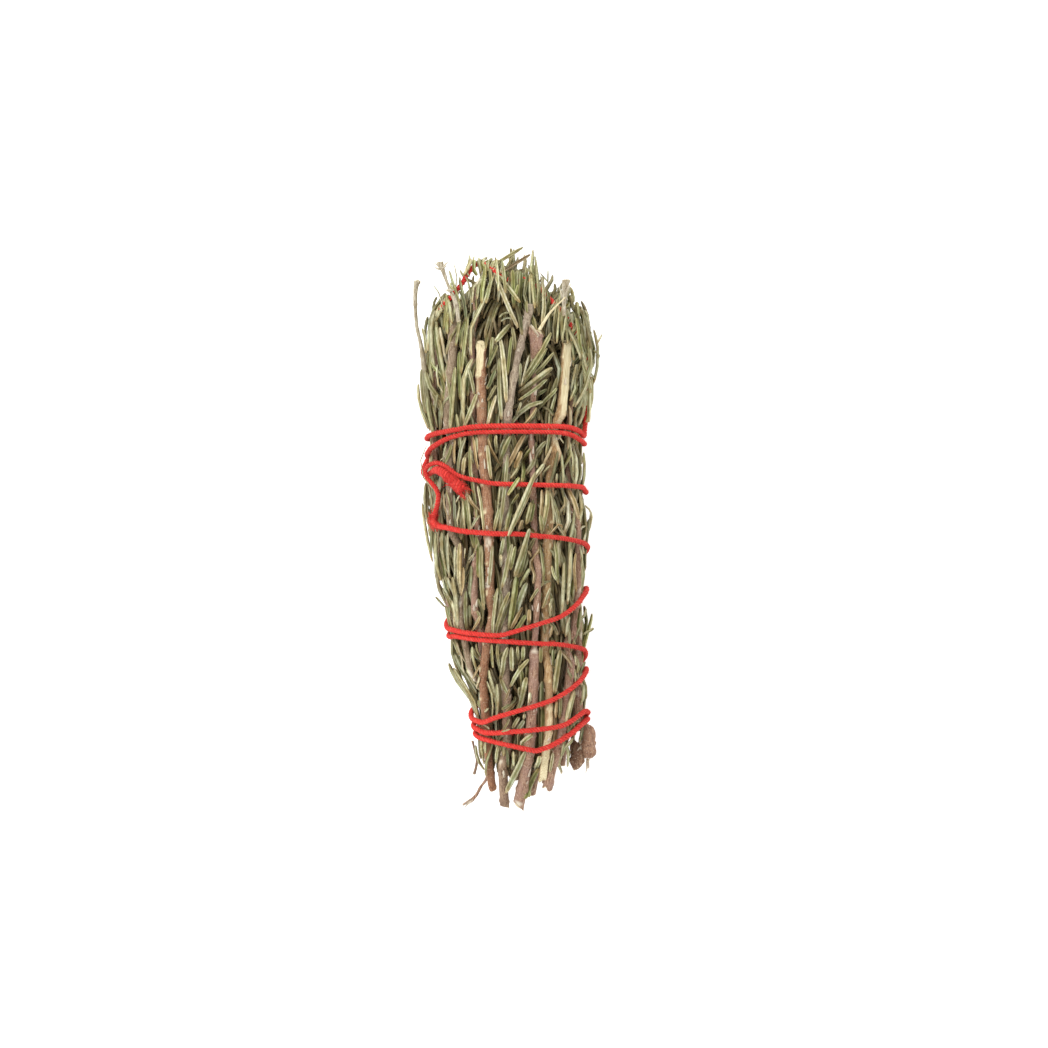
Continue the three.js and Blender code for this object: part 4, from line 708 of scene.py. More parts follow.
BENT_LEAVES = [
    (1.3, 0, "p", (-10.7, 55.9), (-11.7, 62.6), (-10.4, 68), (-7.8, 74.7), (-4.6, 82.1)),
    (1.1, 1, "p", (-10.1, 55.9), (-9.8, 60), (-8.5, 66.4), (-7.2, 72.8), (-4.6, 80.8)),
    (0.8, 0, "p", (18.2, 61.1), (19.5, 67.7), (18.5, 71.9)),
    (0.9, 0, "p", (29.6, 58.4), (29.3, 61.6), (28.3, 64.3)),
    (0.6, 0, "d", (29.3, 48.8), (29.8, 51.7), (30, 56.2)),
    (0.8, 0, "e", (24, 45.6), (25.3, 48.5), (25.1, 53.3)),
    (1.1, 0, "e", (-25.1, 57.2), (-25.4, 62.4), (-26.3, 65.3)),
    (2.0, 0, "o", (-19.3, 47.9), (-21.3, 55.5), (-22, 67.6)),
    (1.1, 1, "o", (-17.9, 48.3), (-18.6, 54.6), (-19.7, 64.7)),
    (0.9, 0, "p", (-19.3, 44.4), (-21.3, 47.9), (-22, 53.4)),
    (0.9, 1, "p", (-21.7, 45.6), (-22.9, 50.1), (-24.2, 55.1)),
    (2.0, 0, "p", (-13.4, 34.4), (-13, 48.9), (-10.5, 55)),
    (1.6, 0, "p", (0.9, 41.1), (0, 51.2), (-1.6, 61.3)),
    (1.6, 0, "p", (-0.9, 35.7), (-2, 45.6), (-2, 55)),
    (1.6, 0, "g", (6.6, 47.9), (11.5, 54.6), (15.3, 63.2)),
    (2.2, 0, "p", (5.6, 44.2), (9.7, 47.2), (16, 52.1)),
    (1.1, 0, "o", (4.7, 41.8), (9.2, 44.7), (14.6, 48.5)),
    (1.6, 0, "p", (1.8, 34.4), (7.8, 39.5), (13.7, 41.5)),
    (0.6, 0, "p", (-1.8, 68), (-0.2, 69.5), (1.8, 69.5)),
    (0.6, 0, "e", (-1.1, 66.7), (0.5, 68), (2.4, 67.4)),
    (0.5, 0, "s", (-19.5, 13), (-19.4, 7.9), (-18.4, 4)),
    (0.8, 0, "s", (14.4, -0.6), (17.6, 2.7), (18.7, 1.5)),
    (0.6, 0, "w", (-12.4, -9.7), (-11.4, -7.7), (-9.1, -3.2)),
    (1.0, 0, "p", (8.2, -21.9), (9.4, -19.3), (12.6, -16.5), (16.9, -15.3)),
    (1.0, 0, "p", (11.7, -24.1), (13.9, -21.4), (14.9, -17.4)),
    (0.8, 0, "w", (-16.8, -35.3), (-15.5, -40.8), (-13.3, -44.9)),
    (1.0, 0, "p", (-10.1, -47.5), (-12.6, -44.8), (-13.5, -45.3), (-12.8, -49.4), (-11, -52)),
    (1.1, 0, "e", (-6.6, -76.3), (-8.7, -73.2), (-10.7, -68.3)),
    (1.3, 0, "p", (17.6, -75), (19.7, -70.9), (22.2, -65.6)),
    (0.5, -1, "s", (-21.6, 27.7), (-23.8, 23.2), (-23.2, 18.4), (-19.4, 13.3)),
]
print(len(TOP_LEAVES), "straight and", len(BENT_LEAVES), "bent leaves are laid")

# %% Laying them
TOP_INSET = 0.75
LAYER_DEPTH = 1.1
EARLY_START = 0.12  # a straight leaf's line starts this share of its length behind the foot


def top_leaf_plan():
    """Lines in x and y: straight ones bulge by a sine, and bent ones follow a smooth curve."""
    flat, width, layer, tone = [], [], [], []
    for x0, y0, x1, y1, wide, kind, *bulge in TOP_LEAVES:
        t = np.linspace(-EARLY_START, 1, LEAF_POINTS)
        x = x0 + (x1 - x0) * t + sum(bulge) * np.sin(np.pi * np.clip(t, 0, 1))
        flat.append(np.column_stack([x, y0 + (y1 - y0) * t]))
        width.append(wide)
        layer.append(int(kind[1:] or 0))
        tone.append(TONES[kind[0]])
    for wide, level, kind, *points in BENT_LEAVES:
        curve, run = even_line(spline(points, 8), 0.2)
        pick = np.linspace(0, len(run) - 1, LEAF_POINTS).round().astype(int)
        flat.append(curve[pick])
        width.append(wide)
        layer.append(level)
        tone.append(TONES[kind])
    return np.array(flat), np.array(width), np.array(layer), np.array(tone)


def lay_on_top(flat, layer, width):
    """The angle whose sine puts each point at its x, at an inset that grows by layer and to the foot."""
    depth = TOP_INSET + LAYER_DEPTH * np.maximum(layer, 0)[:, None] + 1.8 * (1 - ALONG) ** 2.5
    depth = depth + np.maximum(0.85 - width, 0)[:, None] * -0.5
    middle_x, _, half = outline_at(flat[..., 1])
    share = (flat[..., 0] - middle_x) / (half - depth)
    angle = np.degrees(np.arcsin(np.clip(share, -0.985, 0.985)))
    points = bundle_point(angle, flat[..., 1], depth)
    points[..., 0] = flat[..., 0]
    return points


plan = top_leaf_plan()
print("laid in", len(np.unique(plan[2])), "layers, with", len(np.unique(plan[3])), "tones")

# %% One more beside each
COMPANION_EDGE = 17  # past this far from the middle, one more leaf lies on the outer side


def hides_stem(lines, beside_edge=0.4):
    """Whether any part of a leaf but its foot is within beside_edge of a stem where that is seen bare."""
    x, y = lines[:, 2:, 0], lines[:, 2:, 1]
    hides = np.zeros(len(lines), bool)
    for sprig in SHOWN:
        stem_y, stem_x, _, radius = stems[sprig].T
        inside = (y > stem_y[0]) & (y < stem_y[-1]) & (shown_share(sprig, y) > 0.5)
        beside = np.abs(x - np.interp(y, stem_y, stem_x)) - np.interp(y, stem_y, radius)
        hides |= (inside & (beside < beside_edge)).any(1)
    return hides


def companions(flat, width, layer, tone):
    """One more leaf beside and under each broad top leaf: its line, shifted, shortened and a bit turned."""
    broad = (width > 0.9) & (layer >= 0)
    twin = flat[broad].copy()
    count = len(twin)
    foot = twin[:, :1]
    shift = rng.choice([-1.0, 1.0], count) * rng.uniform(0.9, 1.9, count)
    off_middle = twin[:, 5, 0] - outline_at(twin[:, 5, 1])[0]
    shift = np.where(np.abs(off_middle) > COMPANION_EDGE, -1.3 * np.sign(twin[:, 5, 0]), shift)
    twin = foot + (twin - foot) * rng.uniform(0.75, 1.1, count)[:, None, None]
    twin[..., 0] += shift[:, None] + rng.normal(0, 1.2, count)[:, None] * ALONG
    twin[..., 1] += rng.uniform(-3, 3, count)[:, None]
    twin[..., 1] -= np.maximum(twin[..., 1].max(1) - 84, 0)[:, None]
    kinds = rng.choice([TONES[k] for k in "dgope"], count)
    wide = rng.uniform(1.3, 1.8, count)
    kept = ~hides_stem(twin)
    return (np.concatenate([flat, twin[kept]]), np.concatenate([width, wide[kept]]),
            np.concatenate([layer, layer[broad][kept] + 1]), np.concatenate([tone, kinds[kept]]))


flat, top_width, top_layer, top_tone = companions(*plan)
top_lines = lay_on_top(flat, top_layer, top_width)
print("top leaves:", len(top_lines))

# %% [markdown]
# ## Leaves over the loop at the tips
# The yarn also loops once round the tips of the leaves, and only a few glimpses of it are seen from
# above. So leaves cross over it all along: each passes a little higher than the yarn at its place.

# %% Leaves across the loop
# x and y where the loop shows red between the tips, and how far round there
GLIMPSES = np.array([
    [-20.2, 68.8, 0.9], [-11.1, 83.4, 0.8], [-6.8, 86.2, 0.8],
    [-4.0, 83.8, 0.9], [7.2, 80.6, 1.7], [26.0, 54.5, 0.9]])
CROSSING_STEP = 0.84  # along the loop, from one pair of leaves to the next
CROSSING_HEIGHT = 1.45  # of a leaf's middle over the yarn's
SLENDER_ROOM = 2.4  # leaves this near to the slender stem's top are short, so it stands bare


def crossing_leaves():
    """Straight lines along y through the loop's points, lifted, with a lean of their own."""
    along_loop = np.flatnonzero((yarn[:, 1] > 40) & (yarn[:, 2] > 23))
    place = np.repeat(yarn[along_loop[:: round(CROSSING_STEP / YARN_STEP)]], 2, axis=0)
    shown = (np.linalg.norm(place[:, None, :2] - GLIMPSES[:, :2], axis=2) < GLIMPSES[:, 2]).any(1)
    place = place[~shown]
    count = len(place)
    out = np.sign(place[:, 0] - outline_at(place[:, 1])[0])
    slender_x = stems["left_slender_sprig"][-1, 1]
    over_slender = np.abs(place[:, 0] - slender_x) < SLENDER_ROOM
    behind = rng.uniform(8, 13, count) * np.where(over_slender, 0.3, 1)
    ahead = rng.uniform(1.2, 3.4, count)
    run = (behind + ahead)[:, None] * ALONG - behind[:, None]
    lean = (rng.normal(0, 0.10, count) + 0.06 * out)[:, None]
    x = place[:, :1] + rng.normal(0, 0.5, count)[:, None] + lean * run
    y = np.minimum(place[:, 1:2] + run, 87)
    z = place[:, 2:] + CROSSING_HEIGHT + rng.uniform(0, 0.9, count)[:, None] - 0.08 * np.maximum(run, 0)
    return np.stack([x, y, z], -1)


rng = np.random.default_rng(12)
crossing = crossing_leaves()
crossing = crossing[~hides_stem(crossing)]
count = len(crossing)
top_lines = np.concatenate([top_lines, crossing])
top_width = np.concatenate([top_width, rng.uniform(1.25, 1.6, count)])
top_layer = np.concatenate([top_layer, np.zeros(count)])
top_tone = np.concatenate([top_tone, rng.choice([TONES[k] for k in "dgope"], count)])
print("leaves across the loop:", count)

# %% [markdown]
# ## The coat between them
# Between the laid leaves and the stems the bundle is full of leaves that all run nearly the same
# way. They stand in staggered rows over the upper half and down both sides. Each keeps its angle
# while it runs forward, leans outward a little, and rises towards its tip. Those at the two edges
# stick out.

# %% A coat of leaves
STUB_X, STUB_Y = 18.5, -62  # past these lies the stub, which the coat leaves bare
COAT_ROWS = np.arange(-77.0, 74.0, 3.3)
COAT_ANGLES = np.concatenate([
    np.degrees(np.arcsin(np.linspace(-0.96, 0.96, 23))), [-118, -108, -98, -90, -82, 82, 90, 98, 108, 118]])


def coat_leaves():
    """One angle at every y plus a lean, as an arc, that grows to the tip; the inset eases to the tip's."""
    foot = np.repeat(COAT_ROWS, len(COAT_ANGLES))
    count = len(foot)
    angle = np.tile(COAT_ANGLES, len(COAT_ROWS)) + rng.normal(0, 2.5, count)
    share = np.sin(np.radians(angle))
    foot = foot + rng.normal(0, 1.6, count)
    length = rng.uniform(12, 20, count)
    end = 86 - 9 * share ** 2 - rng.uniform(0, 8, count)
    length = np.clip(end - foot, 5, length)
    y = foot[:, None] + length[:, None] * ALONG
    half = outline_at(np.minimum(y, 76))[2]
    lean = (0.9 * share + rng.normal(0, 1.3, count))[:, None] * ALONG ** 1.3
    bow = rng.normal(0, 0.5, count)[:, None] * np.sin(np.pi * ALONG)
    at_edge = np.abs(share) > 0.84
    inset = np.where(at_edge, rng.uniform(-2.0, 1.6, count), rng.uniform(1.0, 3.4, count))
    inset = inset[:, None] + 1.5 * (1 - ALONG) ** 2
    return bundle_point(angle[:, None] + np.degrees((lean + bow) / half), y, inset)


rng = np.random.default_rng(13)
coat_lines = coat_leaves()
near_stub = (coat_lines[:, 4, 0] > STUB_X) & (coat_lines[:, 4, 1] < STUB_Y)
coat_lines = coat_lines[~near_stub]
print("leaves in the coat:", len(coat_lines))

# %% [markdown]
# ## Letting them settle
# All leaves are ranked: those on top first, then the grown ones by how far out they lie. Where two
# leaves are too close, the lower one gives way, mostly inward, so that they end up in layers as
# real leaves do. They also keep out of the stems and pass under the yarn.

# %% Which points are close
LEAF_REACH = 1.7  # leaves side by side are this far apart
FLATNESS = 0.76  # how thick a leaf is beside its width
# the steps from a cube to itself and to half of the cubes that touch it
HALF_STEPS = [(0, 0, 0), (0, 0, 1), (0, 1, -1), (0, 1, 0), (0, 1, 1)] + [
    (1, i, k) for i in (-1, 0, 1) for k in (-1, 0, 1)]


def near_pairs(points, reach):
    """Pairs that may be nearer than reach: points share a cube a reach wide, or are in cubes that touch."""
    cube = np.floor(points / reach).astype(np.int64)
    cube += 1 - cube.min(0)
    size = cube.max(0) + 2
    key = (cube[:, 0] * size[1] + cube[:, 1]) * size[2] + cube[:, 2]
    order = np.argsort(key, kind="stable")
    ranked = key[order]
    found = []
    for step in HALF_STEPS:
        wanted = key + (step[0] * size[1] + step[1]) * size[2] + step[2]
        low = np.searchsorted(ranked, wanted, "left")
        count = np.searchsorted(ranked, wanted, "right") - low
        one = np.repeat(np.arange(len(points)), count)
        place = np.arange(len(one)) - np.repeat(np.cumsum(count) - count, count) + np.repeat(low, count)
        other = order[place]
        keep = one < other if step == (0, 0, 0) else np.ones(len(one), bool)
        found.append(np.stack([one[keep], other[keep]]))
    return np.concatenate(found, 1)


def near_yarn(points, reach):
    """Pairs of a point and a place on the yarn that may be nearer than reach, and that place on the yarn."""
    sparse = yarn[::2]
    both = np.concatenate([points, sparse])
    one, other = near_pairs(both, reach)
    one, other = np.minimum(one, other), np.maximum(one, other)
    keep = (one < len(points)) & (other >= len(points))
    return one[keep], both[other[keep]]


close = near_pairs(top_lines.reshape(-1, 3), LEAF_REACH)
print("pairs of close points on the laid leaves:", close.shape[1])

# %% Under and over the yarn
YARN_ROOM = YARN_RADIUS + 0.62


def yarn_level(points, over):
    """How far in or out points must move to pass under the yarn.

    A few leaves cross it instead, and near the tips, where it runs deep, all that lie higher pass over it.
    """
    one, place = near_yarn(points, 4.0)
    away = outward(place)
    apart = points[one] - place
    height = (apart * away).sum(1)
    beside = np.linalg.norm(apart - height[:, None] * away, axis=1)
    room = YARN_ROOM * (1 - smooth(YARN_ROOM, 3.6, beside))
    lift = np.sqrt(np.maximum(YARN_ROOM ** 2 - beside ** 2, 0))
    lift = np.where(beside < 0.9, YARN_ROOM, np.maximum(lift, 0.8 * room - 0.3))
    is_deep = (place[:, 1] > 37) & (height > -0.6)
    way = np.where(over[one] | is_deep, 1.0, -1.0)
    need = np.where(np.abs(height) < 3.5, np.maximum(lift - way * height, 0), 0)
    need = np.where(is_deep & (beside > 1.3), 0, need)
    inward, outward_most = np.zeros(len(points)), np.zeros(len(points))
    np.maximum.at(inward, one[way < 0], need[way < 0])
    np.maximum.at(outward_most, one[way > 0], need[way > 0])
    return np.where(outward_most > 0, outward_most, -inward)


print("leaves keep", YARN_ROOM, "mm from the yarn's middle")

# %% Off each other and off the stems


def give_way(points, rank, slide, shape):
    """The lower leaf of a pair moves by the missing distance: inward, and sideways by its share of slide."""
    one, other = near_pairs(points, LEAF_REACH)
    keep = one // shape[1] != other // shape[1]
    one, other = one[keep], other[keep]
    swap = rank[one] < rank[other]
    low, high = np.where(swap, one, other), np.where(swap, other, one)
    out = outward(points[high])
    apart = points[low] - points[high]
    radial = (apart * out).sum(1)
    across = apart - radial[:, None] * out
    across[:, 1] = 0
    beside = np.linalg.norm(across, axis=1)
    distance = np.hypot(FLATNESS * beside, radial)
    missing = np.maximum(FLATNESS * LEAF_REACH - distance, 0) * 0.5
    sideways = (slide[low] * missing / np.maximum(beside, 0.2))[:, None] * across
    inward = -out * (missing * np.where(radial > 0.4, 1.4, 1.0))[:, None]
    step = inward * (1 - 0.6 * smooth(0.9, 1.6, beside))[:, None] + sideways
    push = np.zeros_like(points)
    for axis in (0, 2):
        push[:, axis] += np.bincount(low, step[:, axis], len(points))
    weight = np.bincount(low, missing > 0, len(points))
    return push / np.sqrt(weight + 1)[:, None]


def off_stems(points, free):
    """Out of each stem along the shortest way, and for free leaves also sideways off its outer face."""
    push = np.zeros_like(points)
    for sprig in SPRIGS:
        y, x, z, radius = stems[sprig].T
        inside = (points[:, 1] > y[0]) & (points[:, 1] < y[-1] + 0.5)
        centre = np.column_stack([
            np.interp(points[:, 1], y, x), points[:, 1], np.interp(points[:, 1], y, z)])
        apart = points - centre
        distance = np.linalg.norm(apart, axis=1)
        room = np.interp(points[:, 1], y, radius) + 0.55
        missing = np.where(inside, np.maximum(room - distance, 0), 0)
        push += apart * (missing / np.maximum(distance, 1e-3))[:, None]
        if sprig.startswith("inner"):
            continue
        out = outward(centre)
        height = (apart * out).sum(1)
        across = apart - height[:, None] * out
        beside = np.linalg.norm(across, axis=1)
        bare = shown_share(sprig, points[:, 1]) > 0.5
        covers = inside & bare & free & (height > 0) & (height < 4) & (beside < room + 0.2)
        aside = np.where(covers, room + 0.2 - beside, 0) * 0.5
        push += across * (aside / np.maximum(beside, 0.1))[:, None]
    return push


print("a leaf is", FLATNESS * LEAF_REACH, "mm above the next")

# %% Settling
SETTLE_ROUNDS = 24
FRONT_ANGLE = 68  # grown leaves nearer to the top than this start below the laid ones
# for laid, coat and grown leaves: how high they rank, and how far they slide sideways
KIND_RANK = [100, 60, 0]
KIND_SLIDE = [0.0, 0.35, 0.35]
LAYER_RANK = 10
TOP_HALF = 20  # z above which a leaf can hide a stem from above


def settle(lines, rank, slide, free, over):
    """Rounds of pushes, each smoothed along its leaf so that a leaf bends as a whole and keeps its foot."""
    shape = lines.shape
    start = lines.copy()
    loose = np.tile(smooth(-0.15, 0.25, ALONG), shape[0])
    rank, slide, free, over = (np.repeat(value, shape[1]) for value in (rank, slide, free, over))
    for turn in range(SETTLE_ROUNDS):
        points = lines.reshape(-1, 3)
        push = give_way(points, rank, slide, shape) + off_stems(points, free)
        push = push * loose[:, None]
        share = 0.6 if turn < SETTLE_ROUNDS - 3 else 1.0
        push += outward(points) * yarn_level(points, over)[:, None] * share
        moved = (points + push).reshape(shape) - start
        ends = np.concatenate([moved[:, :1], moved, moved[:, -1:]], 1)
        moved = 0.6 * moved + 0.2 * (ends[:, :-2] + ends[:, 2:])
        lines = start + moved
        lines[..., 2] = np.maximum(lines[..., 2], 0.8)
    return lines


angle, inset = bundle_place(grown)
front = np.abs((angle + 180) % 360 - 180) < FRONT_ANGLE
least = np.where(grown[..., 1] > 64, 0.9, 1.7)
grown = bundle_point(angle, grown[..., 1], np.where(front, np.maximum(inset, least), inset))
every = np.concatenate([top_lines, coat_lines, grown])
kind = np.repeat([0, 1, 2], [len(top_lines), len(coat_lines), len(grown)])
layer = np.concatenate([top_layer, np.zeros(len(every) - len(top_layer))])
rank = np.choose(kind, KIND_RANK) - LAYER_RANK * layer - bundle_place(every)[1].mean(1)
slide = np.choose(kind, KIND_SLIDE)
every = settle(every, rank, slide, kind > 0, (kind == 0) & (layer < 0))
top_lines, coat_lines, lines = (every[kind == group] for group in range(3))
in_the_way = hides_stem(coat_lines, -0.3) & (coat_lines[:, 5, 2] > TOP_HALF)
coat_lines = coat_lines[~in_the_way]
print("settled; furthest from the middle:", np.abs(every[..., 0]).max().round(1), "mm in x")

# %% [markdown]
# ## The shape of a leaf
# A dried rosemary leaf is a plump needle with rolled edges: two ridges and a groove above, and two
# rolled margins with a pale furrow below. Eight points round it are enough for that, and seven
# rings along it give the narrow foot and the blunt tip. Each leaf has its own width and twist.

# %% Leaf rings
# across and up in half widths, how far from the furrow, and whether it is the underside
LEAF_PROFILE = np.array([
    [1.00, -0.10, 1.0, 0.4],
    [0.62, 0.85, 0.75, 0.0],
    [0.00, 0.48, 0.0, 0.0],
    [-0.62, 0.85, 0.75, 0.0],
    [-1.00, -0.10, 1.0, 0.4],
    [-0.60, -0.90, 0.8, 1.0],
    [0.00, -0.20, 0.0, 1.0],
    [0.60, -0.90, 0.8, 1.0],
])
# place along the leaf, and width there
LEAF_TAPER = np.array([
    [0.0, 0.42], [0.08, 0.78], [0.32, 1.0], [0.66, 1.0], [0.87, 0.9], [0.965, 0.62], [1.0, 0.24]])


def leaf_rings(lines, width, thickness, roll, twist):
    """The profile carried along each leaf's line, scaled by the taper and turned by roll and twist."""
    place = LEAF_TAPER[:, 0]
    low = np.minimum((place * (LEAF_POINTS - 1)).astype(int), LEAF_POINTS - 2)
    part = (place * (LEAF_POINTS - 1) - low)[:, None]
    middle = lines[:, low] * (1 - part) + lines[:, low + 1] * part
    tangent = unit(np.gradient(lines, axis=1))
    tangent = unit(tangent[:, low] * (1 - part) + tangent[:, low + 1] * part)
    wanted = outward(middle)
    normal = unit(wanted - (wanted * tangent).sum(-1, keepdims=True) * tangent)
    side = np.cross(normal, tangent)
    normal, side = turned(normal, side, roll[:, None] + twist[:, None] * (place - 0.5))
    scale = LEAF_TAPER[:, 1, None, None]
    across = side[:, :, None] * (LEAF_PROFILE[:, 0, None] * scale * (width / 2)[:, None, None, None])
    up = normal[:, :, None] * (LEAF_PROFILE[:, 1, None] * scale * (thickness / 2)[:, None, None, None])
    rings = middle[:, :, None] + across + up
    rings[..., 2] = np.maximum(rings[..., 2], 0.02)
    return rings


def leaf_skin(lines, width, thickness, roll, twist, tone):
    """Leaves, and what each point tells the finish: its place on the leaf, and the tone, darker as painted
    shade where deep.
    """
    rings = leaf_rings(lines, width, thickness, roll, twist)
    place = np.stack(np.broadcast_arrays(
        LEAF_PROFILE[:, 2], LEAF_TAPER[:, :1], LEAF_PROFILE[:, 3]), -1)
    middle = rings.mean(2)
    deep = bundle_place(middle)[1] * (1 - 0.45 * smooth(62, 78, middle[..., 1]))
    tones = np.broadcast_to(tone[:, None, None, :], rings.shape).copy()
    # painted shade: the shade value is cut by up to half where a leaf lies deep in the bundle, less near the
    # tips
    tones[..., 2] *= (1 - 0.5 * smooth(2.6, 7.5, deep))[..., None]
    return skin(rings, tall=6.0, leaf_place=place[None], leaf_tone=tones)


def leaf_traits(count, width):
    """A thickness, a roll and a twist for each leaf; about a third lie with their underside up."""
    thickness = width * rng.uniform(0.62, 0.85, count)
    roll = rng.normal(0, 0.35, count) + np.where(rng.random(count) < 0.3, np.pi, 0)
    twist = rng.normal(0, 0.5, count)
    return thickness, roll, twist


def random_tones(count):
    """Mostly olive and pale olive, some green, grey green, dark or straw, each a little off its kind."""
    kinds = rng.choice([TONES[k] for k in "dgopesb"], count, p=[0.17, 0.16, 0.32, 0.15, 0.15, 0.03, 0.02])
    hue = (kinds + rng.normal(0, 0.035, count)).clip(0, 1)
    return np.column_stack([hue, rng.random(count), rng.uniform(0.45, 0.95, count)])


print("a leaf has", (len(LEAF_TAPER) - 1) * len(LEAF_PROFILE) + 2, "faces")

# %% [markdown]
# ## Colour and nodes
# Colours are written as they look on a screen and turned to linear light by one function. One
# helper adds any node: its settings are words, and its sockets are given numbers, colours or the
# outputs of other nodes.

# %% Colour and the node helper
MIX_A, MIX_B, MIX_OUT = 6, 7, 2  # the colour sockets of a Mix node


def colour(code):
    """sRGB hex to linear: c / 12.92 where dark, and ((c + 0.055) / 1.055) to the power 2.4 elsewhere."""
    share = np.array([int(code[i:i + 2], 16) for i in (1, 3, 5)]) / 255
    return (*np.where(share <= 0.04045, share / 12.92, ((share + 0.055) / 1.055) ** 2.4), 1.0)


def put(tree, kind, sockets=None, stops=None, **settings):
    """Adds a node, applies its settings, fills or links its sockets, and places a ramp's stops."""
    node = tree.nodes.new(kind)
    for word, value in settings.items():
        setattr(node, word, value)
    for socket, value in (sockets or {}).items():
        if isinstance(value, bpy.types.NodeSocket):
            tree.links.new(value, node.inputs[socket])
        else:
            node.inputs[socket].default_value = value
    for i, (at, code) in enumerate(stops or []):
        if i > 1:
            node.color_ramp.elements.new(at)
        node.color_ramp.elements[i].position = at
        node.color_ramp.elements[i].color = colour(code)
    return node


def new_material(name):
    """An empty material with its node tree, and the output that the shader goes to."""
    material = bpy.data.materials.new(name)
    material.use_nodes = True
    material.node_tree.nodes.clear()
    return material, material.node_tree, put(material.node_tree, "ShaderNodeOutputMaterial")


print("leaf green is", [round(c, 3) for c in colour("#787a4c")])

# %% [markdown]
# ## Dried rosemary leaf
# Drying turns the glossy green to an olive, grey green or straw tone, a different one on each leaf.
# The groove and the underside's furrow are darkened as painted shade, the ridges and rolled margins are
# paled as painted highlight, and the underside is covered in pale felt. The foot is straw coloured and the
# tip is often brown. Leaves deep in the bundle are painted darker and browner, as painted shade.

# %% The leaf's finish


def mix(tree, share, first, second, blend="MIX"):
    """A colour between two others: first at share 0 and second at share 1, or their product."""
    return put(tree, "ShaderNodeMix", {0: share, MIX_A: first, MIX_B: second},
               data_type="RGBA", blend_type=blend).outputs[MIX_OUT]


def noise_between(tree, size, low, high, detail=3.0):
    """Noise over the object's own place, as coarse as a size in x, y and z, and a ramp of two colours."""
    place = put(tree, "ShaderNodeMapping", {
        "Vector": put(tree, "ShaderNodeTexCoord").outputs["Object"],
        "Scale": tuple(1 / (length * MM) for length in size)})
    noise = put(tree, "ShaderNodeTexNoise", {"Vector": place.outputs[0], "Scale": 1.0, "Detail": detail})
    ramp = put(tree, "ShaderNodeValToRGB", {"Fac": noise.outputs["Fac"]}, stops=[(0.32, low), (0.68, high)])
    return noise.outputs["Fac"], ramp.outputs[0]


def leaf_material():
    """Tone picks the colour; the place darkens groove and furrow as painted shade, pales ridges and margins
    as painted highlight, and colours foot and tip; a low shade value paints deep leaves darker and browner;
    noise mottles it.
    """
    material, tree, output = new_material("dried_rosemary_leaf")
    place = put(tree, "ShaderNodeSeparateXYZ", {
        0: put(tree, "ShaderNodeAttribute", attribute_name="leaf_place").outputs["Vector"]})
    tone = put(tree, "ShaderNodeSeparateXYZ", {
        0: put(tree, "ShaderNodeAttribute", attribute_name="leaf_tone").outputs["Vector"]})
    across, along, under = place.outputs
    hue, age, shade = tone.outputs
    upper = put(tree, "ShaderNodeValToRGB", {"Fac": hue}, stops=[
        (0.02, "#717b52"), (0.17, "#9ba468"), (0.33, "#a4aa85"), (0.50, "#bfc2a5"),
        (0.66, "#acb5a2"), (0.80, "#e6e4d4"), (0.90, "#bba47e"), (1.0, "#88725c")]).outputs[0]
    # painted shade: this ramp darkens the groove on top and, through the felt below, the underside's furrow
    groove = put(tree, "ShaderNodeValToRGB", {"Fac": across}, stops=[
        (0.0, "#acac86"), (0.4, "#cccbb0"), (0.75, "#ffffff"), (1.0, "#f6f5ea")]).outputs[0]
    groove_shaded = mix(tree, 1.0, upper, groove, "MULTIPLY")
    # painted highlight: the ridges and rolled margins are paled
    painted_ridge_highlight = put(tree, "ShaderNodeMapRange", {0: across, 1: 0.45, 2: 0.8, 3: 0.0, 4: 0.22}).outputs[0]
    ridge_highlit = mix(tree, painted_ridge_highlight, groove_shaded, colour("#d3d1b8"))
    felt = put(tree, "ShaderNodeValToRGB", {"Fac": age}, stops=[
        (0.0, "#aaa988"), (0.6, "#c3c0a3"), (1.0, "#d3cdb6")]).outputs[0]
    felted = put(tree, "ShaderNodeMath", {0: under, 1: 0.75}, operation="MULTIPLY").outputs[0]
    both = mix(tree, felted, ridge_highlit, mix(tree, 1.0, felt, groove, "MULTIPLY"))
    foot = put(tree, "ShaderNodeMapRange", {0: along, 1: 0.16, 2: 0.0, 3: 0.0, 4: 0.6}).outputs[0]
    footed = mix(tree, foot, both, colour("#c4a97e"))
    tip = put(tree, "ShaderNodeMapRange", {0: along, 1: 0.88, 2: 1.0, 3: 0.0, 4: 0.5}).outputs[0]
    browned = put(tree, "ShaderNodeMath", {0: tip, 1: age}, operation="MULTIPLY").outputs[0]
    tipped = mix(tree, browned, footed, colour("#7a6442"))
    grain, mottle = noise_between(tree, (0.45, 2.2, 0.45), "#c4c0b4", "#ffffff")
    _, blotch = noise_between(tree, (2.6, 5.0, 2.6), "#d6c4a8", "#ffffff", 2.0)
    mottled = mix(tree, 1.0, mix(tree, 1.0, tipped, mottle, "MULTIPLY"), blotch, "MULTIPLY")
    # painted shade: a low shade value mixes the colour towards brown and scales it darker; the shade value
    # holds each leaf's own random brightness and the painted depth shade
    deep = put(tree, "ShaderNodeMapRange", {0: shade, 1: 0.1, 2: 0.6, 3: 0.8, 4: 0.0}).outputs[0]
    painted_shade_browned = mix(tree, deep, mottled, colour("#826236"))
    lit = put(tree, "ShaderNodeMapRange", {0: shade, 1: 0.0, 2: 1.0, 3: 0.12, 4: 1.86}).outputs[0]
    final = put(tree, "ShaderNodeVectorMath", {0: painted_shade_browned, "Scale": lit}, operation="SCALE").outputs[0]
    bump = put(tree, "ShaderNodeBump", {"Strength": 0.45, "Distance": 0.1 * MM, "Height": grain}).outputs[0]
    shader = put(tree, "ShaderNodeBsdfPrincipled", {
        "Base Color": final, "Roughness": 0.55, "IOR": 1.45, "Normal": bump})
    tree.links.new(shader.outputs[0], output.inputs["Surface"])
    return material


LEAF = leaf_material()
print("leaf finish:", len(LEAF.node_tree.nodes), "nodes")

